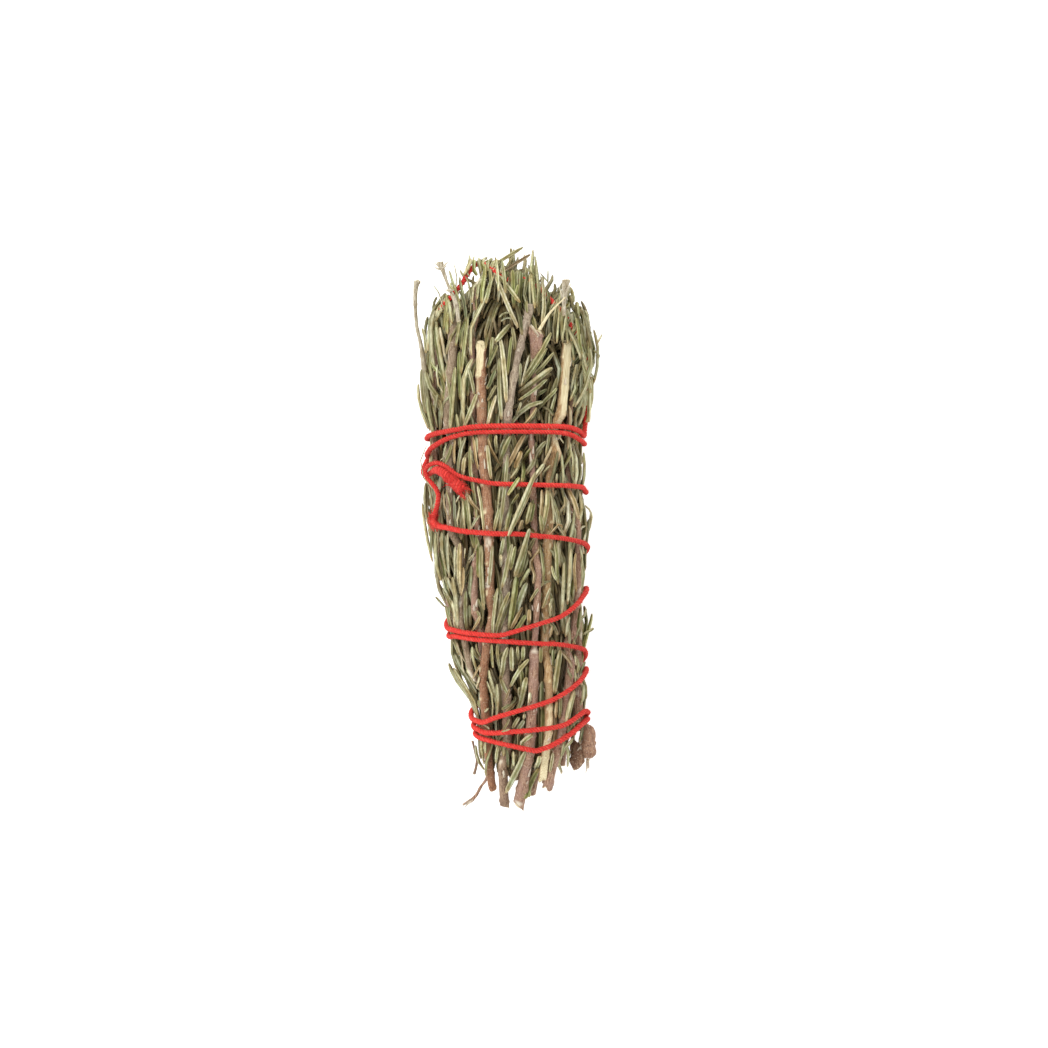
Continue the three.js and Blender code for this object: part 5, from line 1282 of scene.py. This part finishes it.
# %% Making the leaves
width = rng.normal(1.55, 0.18, len(lines)).clip(1.1, 2.0)
thickness, roll, twist = leaf_traits(len(lines), width)
tone = random_tones(len(lines))
for number, sprig in enumerate(OUTER):
    mine = leaf_sprig == number
    leaves = leaf_skin(lines[mine], width[mine], thickness[mine], roll[mine], twist[mine], tone[mine])
    add_piece(sprig + "_needles", [leaves], LEAF, [sprig + "_leaves"])
thickness, roll, twist = leaf_traits(len(top_lines), top_width)
tone = np.column_stack([
    (top_tone + rng.normal(0, 0.02, len(top_tone))).clip(0, 1),
    rng.random(len(top_tone)), rng.uniform(0.68, 1.0, len(top_tone))])
# painted shade: laid leaves below the top layer get a lower shade value
tone[:, 2] -= 0.14 * (top_layer > 0)
laid = leaf_skin(top_lines, top_width, thickness, roll, 0.6 * twist, tone)
add_piece("top_needles", [laid], LEAF)
width = rng.uniform(1.3, 1.75, len(coat_lines))
thickness, roll, twist = leaf_traits(len(coat_lines), width)
tone = random_tones(len(coat_lines))
coat = leaf_skin(coat_lines, width, thickness, 0.7 * roll, twist, tone)
add_piece("coat_needles", [coat], LEAF)

# %% [markdown]
# ## Leaves deep inside
# The sprigs in the middle are only seen as dark shapes between the outer leaves. Their leaves are
# the same kind of line with a plainer skin of four sides, and their tone is darkened further as painted
# shade.

# %% The leaves of the inner sprigs
INNER_STEP = 3.0
PLAIN_SIDES = np.array([[1.0, 0.0], [0.0, 0.7], [-1.0, 0.0], [0.0, -0.7]])
PLAIN_TAPER = np.array([[0, 0.5], [3, 1.0], [7, 0.9], [9, 0.25]])


def inner_leaves(sprig):
    """Lines like an outer sprig's, all round the stem, with a four-sided skin that tapers to its tip."""
    rows = place_rows(sprig)
    base = np.repeat(np.arange(rows[0, 0] + 8, rows[-1, 0] + 4, INNER_STEP), 4)
    count = len(base)
    around = rng.uniform(0, 2 * np.pi, count)
    length = rng.uniform(14, 20, count)
    fan = np.sin(around) * rng.uniform(1, 5, count)
    tip_inset = read_rows(rows, base, 2) - np.cos(around) * rng.uniform(1, 6, count)
    middle = leaf_lines(rows, base, around, length, fan, tip_inset, rng.normal(0, 0.5, count))
    picked = PLAIN_TAPER[:, 0].astype(int)
    _, normal, side = line_frames(middle, outward(middle))
    spokes = (side[:, picked, None] * PLAIN_SIDES[:, 0, None]
              + normal[:, picked, None] * PLAIN_SIDES[:, 1, None])
    rings = middle[:, picked, None] + spokes * 0.8 * PLAIN_TAPER[:, 1, None, None]
    along = np.zeros((1, len(picked), 1, 3)) + [0.5, 0.5, 0.0]
    tone = random_tones(count)
    # painted shade: the inner leaves' shade value is cut to less than half
    tone[:, 2] *= 0.42
    return skin(rings, tall=6.0, leaf_place=along, leaf_tone=tone[:, None, None, :])


for sprig in INNER:
    add_piece(sprig + "_needles", [inner_leaves(sprig)], LEAF, [sprig + "_leaves"])
print("inner leaves made for", len(INNER), "sprigs")

# %% [markdown]
# ## Stems
# A rosemary stem is woody, with thin bark that cracks lengthwise, swollen rings where leaves
# stood, and little torn leaf bases. The ends show pale wood round a darker pith. Bark relief is a
# sum of waves round and along the stem. Where a stem has split, a flat face is shaved off it, and
# where a side twig was torn away, a pale scar is left.

# %% Bark and wood finishes


def bark_material(name, dark, middle, light, patch, cut_end=0.0):
    """Lengthwise cracks from stretched noise, broad patches, specks, pale wood where the bark is gone.

    cut_end is how far the bark turns to dark brown towards the low end of y.
    """
    material, tree, output = new_material(name)
    says = put(tree, "ShaderNodeSeparateXYZ", {
        0: put(tree, "ShaderNodeAttribute", attribute_name="bark_place").outputs["Vector"]})
    wood, from_pith, pale = says.outputs
    cracks, _ = noise_between(tree, (0.4, 2.6, 0.4), dark, light, 4.0)
    bark = put(tree, "ShaderNodeValToRGB", {"Fac": cracks}, stops=[
        (0.3, dark), (0.46, middle), (0.66, light)]).outputs[0]
    broad, _ = noise_between(tree, (3.0, 5.5, 3.0), dark, light, 2.0)
    patches = put(tree, "ShaderNodeMapRange", {0: broad, 1: 0.45, 2: 0.62, 3: 0.0, 4: 0.7}).outputs[0]
    patched = mix(tree, patches, bark, colour(patch))
    fine, _ = noise_between(tree, (0.3, 0.5, 0.3), dark, light, 2.0)
    specks = put(tree, "ShaderNodeMapRange", {0: fine, 1: 0.60, 2: 0.70, 3: 0.0, 4: 0.75}).outputs[0]
    speckled = mix(tree, specks, patched, colour("#d2c4ac"))
    pits = put(tree, "ShaderNodeMapRange", {0: fine, 1: 0.38, 2: 0.28, 3: 0.0, 4: 0.7}).outputs[0]
    pitted = mix(tree, pits, speckled, colour("#4f3c2c"))
    _, sapwood = noise_between(tree, (0.2, 3.5, 0.2), "#c9b586", "#f7ecc6", 2.0)
    pith = put(tree, "ShaderNodeMapRange", {0: from_pith, 1: 0.32, 2: 0.16, 3: 0.0, 4: 0.6}).outputs[0]
    face = mix(tree, pith, sapwood, colour("#97794f"))
    height = put(tree, "ShaderNodeSeparateXYZ", {
        0: put(tree, "ShaderNodeTexCoord").outputs["Object"]}).outputs[1]
    low = put(tree, "ShaderNodeMapRange", {
        0: height, 1: -20 * MM, 2: -60 * MM, 3: 0.0, 4: cut_end}).outputs[0]
    browner = mix(tree, low, pitted, mix(tree, 1.0, pitted, colour("#c89a7c"), "MULTIPLY"))
    wooded = mix(tree, wood, browner, face)
    torn = mix(tree, pale, wooded, colour("#e2d8c2"))
    bump = put(tree, "ShaderNodeBump", {"Strength": 0.8, "Distance": 0.22 * MM, "Height": cracks}).outputs[0]
    shader = put(tree, "ShaderNodeBsdfPrincipled", {
        "Base Color": torn, "Roughness": 0.8, "IOR": 1.45, "Normal": bump})
    tree.links.new(shader.outputs[0], output.inputs["Surface"])
    return material


BROWN_BARK = bark_material("brown_rosemary_bark", "#644836", "#94705a", "#b8967c", "#a07e70")
RED_BARK = bark_material("reddish_rosemary_bark", "#684630", "#96694c", "#b58a68", "#a07a5c", 0.35)
GREY_BARK = bark_material("grey_rosemary_bark", "#6c5a48", "#9b8975", "#c4b499", "#92806f", 0.5)
TAUPE_BARK = bark_material("taupe_rosemary_bark", "#5f4d3c", "#8e775e", "#b09c82", "#98846d")
PALE_BARK = bark_material("pale_twig_bark", "#85765f", "#b0a48b", "#d6cfb9", "#9c8c70")
SPLIT_WOOD = bark_material("split_rosemary_wood", "#84603e", "#a98458", "#c8ae80", "#b0906a")
STUB_BARK = bark_material("stub_bark", "#6a4a36", "#94705a", "#b58e70", "#8a6650")
ROOT_BARK = bark_material("dark_root_bark", "#4e3424", "#7c5a42", "#a08064", "#6e4c38")
print("a bark has", len(BROWN_BARK.node_tree.nodes), "nodes")

# %% The skin of a stem
# the rings that close an end: place along the stem, share of the radius, and how bare of bark
STEM_EDGE = np.array([
    [0.5, 0.05, 1.0], [0.25, 0.5, 1.0], [0.1, 0.85, 1.0], [0.0, 0.97, 0.6], [0.3, 1.02, 0.0]])


def rod_frame(rows, y):
    """Middle, tangent, outward normal and side of a rod at each y."""
    middle = np.column_stack([read_rows(rows, y, 1), y, read_rows(rows, y, 2)])
    ahead = np.column_stack([read_rows(rows, y + 0.5, 1), y + 0.5, read_rows(rows, y + 0.5, 2)])
    behind = np.column_stack([read_rows(rows, y - 0.5, 1), y - 0.5, read_rows(rows, y - 0.5, 2)])
    tangent = unit(ahead - behind)
    wanted = outward(middle)
    normal = unit(wanted - (wanted * tangent).sum(-1, keepdims=True) * tangent)
    return middle, tangent, normal, np.cross(normal, tangent)


def stem_skin(rows, seed, step, sides, relief, cut_slant=(0.0, 0.0), top_slant=(0.0, 0.0), jag=0.3,
              shave=None, swell=None, scars=()):
    """Rings along the rod with bark relief, closed over both ends.

    A slant tilts an end towards its side and its outer face. shave gives a flat face's direction and
    its depth at y. swell scales the radius at y. A scar is [y, turn in degrees, half length, half width]
    of a pale dent.
    """
    cut, top = rows[0, 0], rows[-1, 0]
    body = np.arange(cut + 0.9, top - 0.9, step)
    y = np.concatenate([cut + STEM_EDGE[:, 0], body, top - STEM_EDGE[::-1, 0]])
    share = np.concatenate([STEM_EDGE[:, 1], np.ones(len(body)), STEM_EDGE[::-1, 1]])
    wood = np.concatenate([STEM_EDGE[:, 2], np.zeros(len(body)), STEM_EDGE[::-1, 2]])
    middle, tangent, normal, side = rod_frame(rows, y)
    turn = 2 * np.pi * np.arange(sides) / sides
    c, s = np.cos(turn), np.sin(turn)
    rough = relief * waves(seed, 14, 2.4 * c, 2.4 * s, y[:, None] / 2.2)
    rough = rough + 0.7 * relief * waves(seed + 1, 8, 0.7 * c, 0.7 * s, y[:, None] / 6)
    node = np.maximum(np.sin((y + seed) / 1.35 + 0.4 * np.sin(y / 5)), 0) ** 10
    radius = read_rows(rows, y, 3) * share
    if swell is not None:
        radius = radius * np.interp(y, *np.array(swell, float).T)
    radius = radius[:, None] * (1 + rough + 0.2 * node[:, None])
    bare = np.broadcast_to(wood[:, None], radius.shape).copy()
    pale = np.zeros_like(bare)
    for scar_y, scar_turn, half_long, half_wide in scars:
        off = (np.degrees(turn) - scar_turn + 180) % 360 - 180
        spot = 1 - smooth(0.6, 1.1, np.hypot((y[:, None] - scar_y) / half_long, off / half_wide))
        radius = radius * (1 - 0.12 * spot)
        pale = np.maximum(pale, 0.9 * spot)
    a, b = radius * c, radius * s
    if shave is not None:
        (toward_side, toward_out), depth = shave
        over = a * toward_side + b * toward_out - (depth(y) * read_rows(rows, y, 3))[:, None]
        over = np.maximum(over, 0)
        a = a - over * toward_side
        b = b - over * toward_out
        bare = np.maximum(bare, smooth(0.0, 0.12, over))
    ragged = jag * waves(seed + 2, 10, 2.5 * c, 2.5 * s) * (share > 0.3)[:, None]
    low_end = np.exp(-(y - cut).clip(0) / 1.5)[:, None]
    high_end = np.exp(-(top - y).clip(0) / 1.5)[:, None]
    shift = low_end * (ragged + cut_slant[0] * a + cut_slant[1] * b)
    shift = shift + high_end * (ragged + top_slant[0] * a + top_slant[1] * b)
    rings = (middle[:, None] + a[..., None] * side[:, None] + b[..., None] * normal[:, None]
             + shift[..., None] * tangent[:, None])
    rings[..., 2] = np.maximum(rings[..., 2], 0.05)
    from_pith = np.broadcast_to(share[:, None], a.shape)
    says = np.stack([bare, from_pith, pale], -1)
    return skin(rings[None], chunks=6, tall=3.0, bark_place=says[None])


example = stem_skin(stems[OUTER[0]], 20, 0.8, 14, 0.09)["rings"]
print("a stem has", example.shape[1], "rings of", example.shape[2], "points")

# %% Slivers


def spindles(line, across, away, size, pale):
    """Thin closed slivers along lines of four points, with five sides and flatter than they are wide."""
    turn = 2 * np.pi * np.arange(5) / 5
    spokes = (across[:, None, None] * np.cos(turn)[:, None] * 1.3
              + away[:, None, None] * np.sin(turn)[:, None] * 0.6)
    rings = line[:, :, None] + spokes * size[..., None, None]
    rings[..., 2] = np.maximum(rings[..., 2], 0.05)
    says = np.array([0.0, 1.0, 0.0]) + np.zeros((len(line), 1, 1, 3))
    says[..., 2] = pale[:, None, None]
    return skin(rings, tall=4.0, bark_place=says)


def torn_bases(rows, seed, count):
    """Small pale slivers that stand off a stem where leaves were torn away: thin spindles along the stem."""
    rng = np.random.default_rng(seed)
    base = rng.uniform(rows[0, 0] + 6, rows[-1, 0] - 2, count)
    middle, tangent, normal, side = rod_frame(rows, base)
    turn = rng.uniform(-0.4 * np.pi, 1.4 * np.pi, count)[:, None]
    away = side * np.cos(turn) + normal * np.sin(turn)
    radius = read_rows(rows, base, 3)[:, None]
    length = rng.uniform(1.0, 3.4, count)[:, None]
    t = np.array([0.0, 0.35, 0.75, 1.0])[:, None]
    line = (middle + away * radius * 0.9)[:, None] + (tangent * length)[:, None] * t
    line = line + (away * rng.uniform(0.1, 0.9, count)[:, None])[:, None] * t ** 1.6
    size = np.array([0.36, 0.3, 0.2, 0.06]) * rng.uniform(0.7, 1.4, (count, 1))
    return spindles(line, np.cross(away, tangent), away, size, rng.uniform(0.2, 1.0, count))


print("a sliver has", 5 * 3 + 2, "faces")

# %% The stems
# where each split stem's flat face looks, and how far it is from the middle, in radii, at y
TOP_WEDGE = ((0.25, 0.97), lambda y: np.interp(y, [49, 52, 60], [1.05, 0.5, 0.1]))
LONG_SPLIT = ((0.2, 0.98), lambda y: np.interp(
    y, [-80, -68, -52, -45, 20, 26, 36, 44, 62], [0.2, 0.5, 1.1, 1.1, 1.1, 0.9, 0.8, 0.35, 0.1]))
STEM_KINDS = {
    "left_thick_sprig": (TAUPE_BARK, "brown_bark", {
        "swell": [[-48, 0.9], [-10, 1.0], [20, 0.85], [33, 0.95], [60, 1.05], [72, 0.95]],
        "scars": [[47.5, 70, 1.6, 50], [-23, 90, 1.5, 60], [-45.5, 90, 2.5, 90]]}),
    "left_slender_sprig": (BROWN_BARK, "brown_bark", {"scars": [[79.5, 90, 1.2, 100]]}),
    "grey_middle_sprig": (GREY_BARK, "grey_bark", {
        "swell": [[-88, 1.0], [30, 1.0], [38, 1.25], [39.5, 0.95], [47, 1.0], [49, 1.25], [51, 0.95],
                  [56, 1.0], [58.5, 1.3], [60.5, 1.0], [67, 1.05], [70, 1.35], [72, 1.1]],
        "cut_slant": (0.2, 0.25), "scars": [[-73.5, 90, 0.8, 40]]}),
    "long_middle_sprig": (RED_BARK, "brown_bark", {
        "shave": TOP_WEDGE, "top_slant": (0.5, -0.6), "jag": 0.7,
        "scars": [[-3, 100, 1.8, 45], [-16.3, 80, 1.0, 50]]}),
    "split_sprig": (SPLIT_WOOD, "split_wood", {"shave": LONG_SPLIT, "jag": 1.0, "top_slant": (-0.5, -0.3)}),
    "thick_cut_sprig": (BROWN_BARK, "brown_bark", {
        "swell": [[-88, 1.0], [-38.6, 1.0], [-37.6, 0.95], [-36.9, 0.62], [-20, 0.75], [54, 0.8],
                  [59, 2.2], [64, 2.5]],
        "top_slant": (0.5, -0.4), "cut_slant": (0.7, 0.5), "jag": 0.5,
        "scars": [[-37.4, 90, 0.9, 85], [-86.5, 90, 0.9, 48]]}),
    "right_slender_sprig": (BROWN_BARK, "brown_bark", {
        "jag": 1.2, "scars": [[-18.9, 100, 1.6, 90]],
        "swell": [[-82, 1.15], [-78, 1.0], [-20.5, 0.95], [-18.8, 1.3], [-17.2, 0.9], [60, 1.0]]}),
}
OUTER_SKIN = (0.8, 14)  # a ring every so many millimetres, and points round each
INNER_SKIN = (3.0, 8)
BARK_RELIEF = 0.09
TORN_BASES = 34
for seed, sprig in enumerate(SPRIGS):
    material, slot, extras = STEM_KINDS.get(sprig, (BROWN_BARK, "brown_bark", {}))
    step, sides = OUTER_SKIN if sprig in OUTER else INNER_SKIN
    made = [stem_skin(stems[sprig], 20 + seed, step, sides, BARK_RELIEF, **extras)]
    if sprig in OUTER:
        made.append(torn_bases(stems[sprig], 60 + seed, TORN_BASES))
    add_piece(sprig + "_bark", made, material, [sprig + "_stem"])

# %% [markdown]
# ## Twigs and the broken stub
# Thin twigs stand free at both ends, some with a dried flower cup, and a short stub of root wood
# is caught at the cut end. They use the same skin as the stems, thinner and bumpier. The cups are
# sprays of thin pale bracts. The stub has two broken lobes with a hollow between them.

# %% Twigs


def spray(base, towards, count, length, spread, seed):
    """Bracts from one place: spindles towards a direction, each off it by its own random share of spread."""
    rng = np.random.default_rng(seed)
    way = unit(np.array(towards) + rng.normal(0, spread, (count, 3)))
    reach = length * rng.uniform(0.6, 1.0, count)[:, None]
    t = np.array([0.0, 0.35, 0.75, 1.0])[:, None]
    bend = rng.normal(0, 0.12, (count, 3)) * reach
    line = (np.array(base) + rng.normal(0, 0.25, (count, 3)))[:, None] + (way * reach)[:, None] * t
    line = line + bend[:, None] * t ** 2
    away = unit(np.cross(way, [0.0, 0.3, 1.0]))
    size = np.array([0.35, 0.45, 0.3, 0.05]) * rng.uniform(0.7, 1.2, (count, 1))
    return spindles(line, np.cross(way, away), away, size, rng.uniform(0.1, 0.9, count))


TWIG_KINDS = {
    "bare_twig": (PALE_BARK, "grey_bark", [spray((-27.8, 79.8, 27.7), (0.5, 1, 0), 5, 1.4, 0.5, 1)]),
    "flower_stalk": (PALE_BARK, "grey_bark", [
        spray((-19.9, 83.6, 38), (-0.9, 0.5, 0.1), 4, 3.0, 0.12, 2),
        spray((-19.9, 83.8, 38), (0, 1, 0.1), 4, 2.6, 0.12, 12),
        spray((-19.9, 83.6, 38), (0.8, 0.8, 0.1), 4, 3.0, 0.12, 13),
        spray((-17.0, 76.4, 39.3), (0, 0.4, 0.4), 14, 1.5, 0.9, 3)]),
    "dry_calyx_twig": (PALE_BARK, "grey_bark", [
        spray((18.6, 74.5, 37.5), (0, 1, 0.1), 12, 5.6, 0.16, 4),
        spray((18.8, 76.0, 37), (0.3, -1, 0.2), 6, 4.0, 0.3, 5)]),
    "bud_twig": (BROWN_BARK, "brown_bark", [spray((-10.3, -86.2, 8.6), (-1, -0.75, 0), 9, 4.2, 0.12, 6)]),
    "hooked_twig": (GREY_BARK, "grey_bark", []),
    "cream_twig": (SPLIT_WOOD, "split_wood", [spray((10.6, 62.4, 43.6), (-0.4, 1, 0.3), 5, 4.5, 0.35, 7)]),
}
SLIM = {"flower_stalk": 0.72, "cream_twig": 0.6}  # thinner than their solids
for seed, (twig, (material, slot, sprays)) in enumerate(TWIG_KINDS.items()):
    slim = [1, 1, 1, SLIM.get(twig, 1)]
    made = stem_skin(rod_rows(twig) * slim, 90 + seed, 0.5, 9, 0.18, jag=0.2)
    if twig == "cream_twig":
        made["says"]["bark_place"][..., 0] = 1.0
    add_piece(twig + "_bark", [made] + sprays, material, [twig])
print("twigs made:", len(TWIG_KINDS))

# %% The stub
# y, x, z, radius of the stub's two lobes
STUB_LEFT = np.array([
    [-75.6, 22.6, 13, 1.3], [-74.6, 22.9, 13.2, 2.0], [-71, 23.4, 13.4, 2.3], [-68, 23.6, 13, 2.0]])
STUB_RIGHT = np.array([
    [-72.8, 26.9, 14, 1.6], [-71.6, 27.0, 14.4, 2.3], [-66, 26.6, 14.4, 2.6], [-62.6, 26.0, 14, 2.2]])
lobes = [stem_skin(rows, 110 + 3 * i, 0.3, 26, 0.24, jag=1.1, top_slant=(0.4, -0.5))
         for i, rows in enumerate((STUB_LEFT, STUB_RIGHT))]
add_piece("broken_stub_bark", lobes[:1], ROOT_BARK, ["broken_stub"])
fringes = [
    spray((24.6, -68.5, 15.0), (0.2, 1, 0.4), 12, 2.8, 0.5, 8),
    spray((26.5, -62.6, 14.5), (0.2, 1, 0.2), 10, 1.8, 0.6, 9),
    spray((26.8, -73.0, 13.0), (0, -1, 0), 5, 4.5, 0.15, 10)]
add_piece("broken_stub_rim", lobes[1:] + fringes, STUB_BARK)

# %% [markdown]
# ## Red wool yarn
# The yarn is three soft plies twisted together. Each ply is a tube whose middle goes round the
# yarn's line as it runs on: the sine and cosine of the run times a turn for each twist. Where the
# yarn is frayed the plies spread and swell. Loose fibres stand off it all the way.

# %% The wool's finish


def wool_material():
    """Fine fibres run along each ply: noise stretched along it shades and dents the red, and the valleys
    between plies are darkened as painted shade.
    """
    material, tree, output = new_material("red_wool")
    place = put(tree, "ShaderNodeAttribute", attribute_name="ply_place").outputs["Vector"]
    fibre_place = put(tree, "ShaderNodeMapping", {"Vector": place, "Scale": (9.0, 1 / 1.2, 3.0)})
    fibre = put(tree, "ShaderNodeTexNoise", {"Vector": fibre_place.outputs[0], "Scale": 1.0, "Detail": 3.0})
    red = put(tree, "ShaderNodeValToRGB", {"Fac": fibre.outputs["Fac"]}, stops=[
        (0.25, "#c6251d"), (0.5, "#f63c32"), (0.75, "#ff6c5e")])
    # painted shade: by its place round the ply, the surface is darkened down to 0.62 for the valleys between
    # plies
    outer = put(tree, "ShaderNodeSeparateXYZ", {"Vector": place}).outputs[0]
    painted_valley_shade = put(tree, "ShaderNodeMapRange", {
        "Value": outer, 1: 0.12, 2: 0.46, 3: 0.62, 4: 1.0}, interpolation_type="SMOOTHSTEP").outputs[0]
    dark = put(tree, "ShaderNodeCombineColor", {0: painted_valley_shade, 1: painted_valley_shade, 2: painted_valley_shade}).outputs[0]
    red_with_valley_shade = mix(tree, 1.0, red.outputs[0], dark, "MULTIPLY")
    bump = put(tree, "ShaderNodeBump", {
        "Strength": 0.5, "Distance": 0.08 * MM, "Height": fibre.outputs["Fac"]})
    shader = put(tree, "ShaderNodeBsdfPrincipled", {
        "Base Color": red_with_valley_shade, "Roughness": 0.85, "IOR": 1.5, "Normal": bump.outputs[0],
        "Sheen Weight": 0.2, "Sheen Roughness": 0.4, "Sheen Tint": colour("#ff7a6a")})
    tree.links.new(shader.outputs[0], output.inputs["Surface"])
    return material


WOOL = wool_material()
print("wool finish:", len(WOOL.node_tree.nodes), "nodes")

# %% The plies
PLIES = 3
TWIST_LENGTH = 3.1
PLY_RADIUS = 0.45
PLY_OFFSET = 0.45
PLY_SIDES = 6
KNOT = yarn[np.argmin(np.linalg.norm(yarn[:, :2] - [-23.2, 3.4], axis=1) - 0.3 * yarn[:, 2])]


def ply_skins():
    """Each ply's middle is the yarn's line plus a spoke that turns with the run; a tube goes round it."""
    loose = 1 + 0.5 * (1 - smooth(1.5, 6, yarn_run)) + 0.12 * waves(129, 10, yarn_run / 9)
    loose += 1.1 * (1 - smooth(10, 18, yarn_run))
    loose += 0.7 * np.exp(-(np.linalg.norm(yarn - KNOT, axis=1) / 2.6) ** 2)
    _, normal, side = line_frames(yarn, outward(yarn))
    made = []
    for ply in range(PLIES):
        turn = 2 * np.pi * (yarn_run / TWIST_LENGTH + ply / PLIES)
        spoke = side * np.cos(turn)[:, None] + normal * np.sin(turn)[:, None]
        middle = yarn + spoke * (PLY_OFFSET * loose)[:, None]
        middle[:, 2] = np.maximum(middle[:, 2], PLY_RADIUS + 0.06)
        radius = PLY_RADIUS * (1 + 0.07 * waves(130 + ply, 8, yarn_run / 2.5)) * loose ** 0.5
        radius[[0, -1]] *= 0.3
        rings = tube_rings(middle, radius, PLY_SIDES, spoke)
        rings[..., 2] = np.maximum(rings[..., 2], 0.02)
        around = np.arange(PLY_SIDES) / PLY_SIDES
        says = np.stack(np.broadcast_arrays(
            np.abs(around - 0.5), yarn_run[:, None], float(ply)), -1)
        made.append(skin(rings[None], chunks=18, tall=20.0, ply_place=says[None]))
    return made


add_piece("red_yarn_plies", ply_skins(), WOOL, ["red_yarn"])

# %% The loose fibres
FIBRES = 1900
TUFT_FIBRES = 260


def fibre_skin(seed, start, length, lift, thick):
    """Hairs off the yarn: arcs of four points that start on it, follow it a while, and lift off it."""
    rng = np.random.default_rng(seed)
    count = len(start)
    row = np.searchsorted(yarn_run, start).clip(1, len(yarn) - 2)
    tangent, normal, side = line_frames(yarn, outward(yarn))
    turn = rng.uniform(0, 2 * np.pi, count)[:, None]
    away = side[row] * np.cos(turn) + normal[row] * np.sin(turn)
    way = tangent[row] * rng.choice([-1.0, 1.0], count)[:, None]
    t = np.array([0.0, 0.35, 0.7, 1.0])[:, None]
    swing = np.cross(away, way) * rng.normal(0, 0.35, count)[:, None]
    line = (yarn[row] + away * 0.72)[:, None] + (way * length[:, None])[:, None] * t
    line = line + (away * lift[:, None])[:, None] * np.sin(np.pi * 0.62 * t)
    line = line + (swing * length[:, None])[:, None] * t ** 2
    line[..., 2] = np.maximum(line[..., 2], 0.1)
    radius = np.broadcast_to(thick * np.array([1.0, 1.0, 0.8, 0.3]), (count, 4))
    rings = tube_rings(line, radius, 3, np.broadcast_to(away[:, None], line.shape))
    says = np.stack(np.broadcast_arrays(0.3, start[:, None, None], 1.0), -1)
    return skin(rings, tall=6.0, ply_place=says)


rng = np.random.default_rng(29)
hairs = fibre_skin(31, rng.uniform(1, yarn_run[-1] - 1, FIBRES), rng.uniform(0.8, 2.4, FIBRES),
                   rng.uniform(0.15, 0.55, FIBRES), 0.035)
frayed = fibre_skin(32, rng.uniform(0, 4.5, TUFT_FIBRES), rng.uniform(1.8, 4.0, TUFT_FIBRES),
                    rng.uniform(0.3, 1.6, TUFT_FIBRES), 0.09)
knot_run = yarn_run[np.argmin(np.linalg.norm(yarn - KNOT, axis=1))]
knotted = fibre_skin(33, knot_run + rng.normal(0, 1.6, TUFT_FIBRES), rng.uniform(1.2, 2.8, TUFT_FIBRES),
                     rng.uniform(0.2, 1.2, TUFT_FIBRES), 0.06)
add_piece("red_yarn_fibres", [hairs, frayed, knotted], WOOL)

# %% [markdown]
# ## Floor, light and camera
# The bundle lies on a plain pale sweep under soft, even studio light, and the camera looks
# straight down on it from far away with a long lens, so that nothing is distorted.

# %% The studio
FRAME_WIDTH = 335.4  # what the picture spans, in mm, at the bundle's middle height
CAMERA_LENS = 150.0
SENSOR = 36.0
AIM = np.array([6.24, 2.74, 23.0])
FLOOR_HALF = 6.0  # metres
FLOOR_GLOW = 0.62
SKY_STRENGTH = 0.9
SUN_STRENGTH = 1.6
SUN_SPREAD = 35  # degrees, wide enough for soft shadows
SUN_TILT = (-22, -24)


def build_studio():
    """A wide floor that glows a little, a white sky, one soft sun and the camera."""
    material, tree, output = new_material("pale_sweep")
    shader = put(tree, "ShaderNodeBsdfPrincipled", {
        "Base Color": colour("#f4f4f2"), "Roughness": 0.9,
        "Emission Color": colour("#ffffff"), "Emission Strength": FLOOR_GLOW})
    tree.links.new(shader.outputs[0], output.inputs["Surface"])
    half = FLOOR_HALF
    mesh = bpy.data.meshes.new("floor")
    corners = [(-half, -half, 0), (half, -half, 0), (half, half, 0), (-half, half, 0)]
    mesh.from_pydata(corners, [], [(0, 1, 2, 3)])
    floor = bpy.data.objects.new("floor", mesh)
    floor.data.materials.append(material)
    scene.collection.objects.link(floor)
    world = bpy.data.worlds.new("studio")
    world.use_nodes = True
    world.node_tree.nodes["Background"].inputs["Color"].default_value = (1, 1, 1, 1)
    world.node_tree.nodes["Background"].inputs["Strength"].default_value = SKY_STRENGTH
    scene.world = world
    sun = bpy.data.lights.new("soft_sun", "SUN")
    sun.energy = SUN_STRENGTH
    sun.angle = np.radians(SUN_SPREAD)
    lamp = bpy.data.objects.new("soft_sun", sun)
    lamp.rotation_euler = (*np.radians(SUN_TILT), 0)
    scene.collection.objects.link(lamp)
    lens = bpy.data.cameras.new("camera")
    lens.lens = CAMERA_LENS
    lens.sensor_width = SENSOR
    distance = FRAME_WIDTH / 2 / (SENSOR / 2 / CAMERA_LENS)
    lens.clip_start = 0.1
    lens.clip_end = 20
    camera = bpy.data.objects.new("camera", lens)
    camera.location = [AIM[0] * MM, AIM[1] * MM, (AIM[2] + distance) * MM]
    scene.collection.objects.link(camera)
    scene.camera = camera
    scene.view_settings.view_transform = "Standard"


build_studio()
print("camera at", [round(c, 3) for c in scene.camera.location])
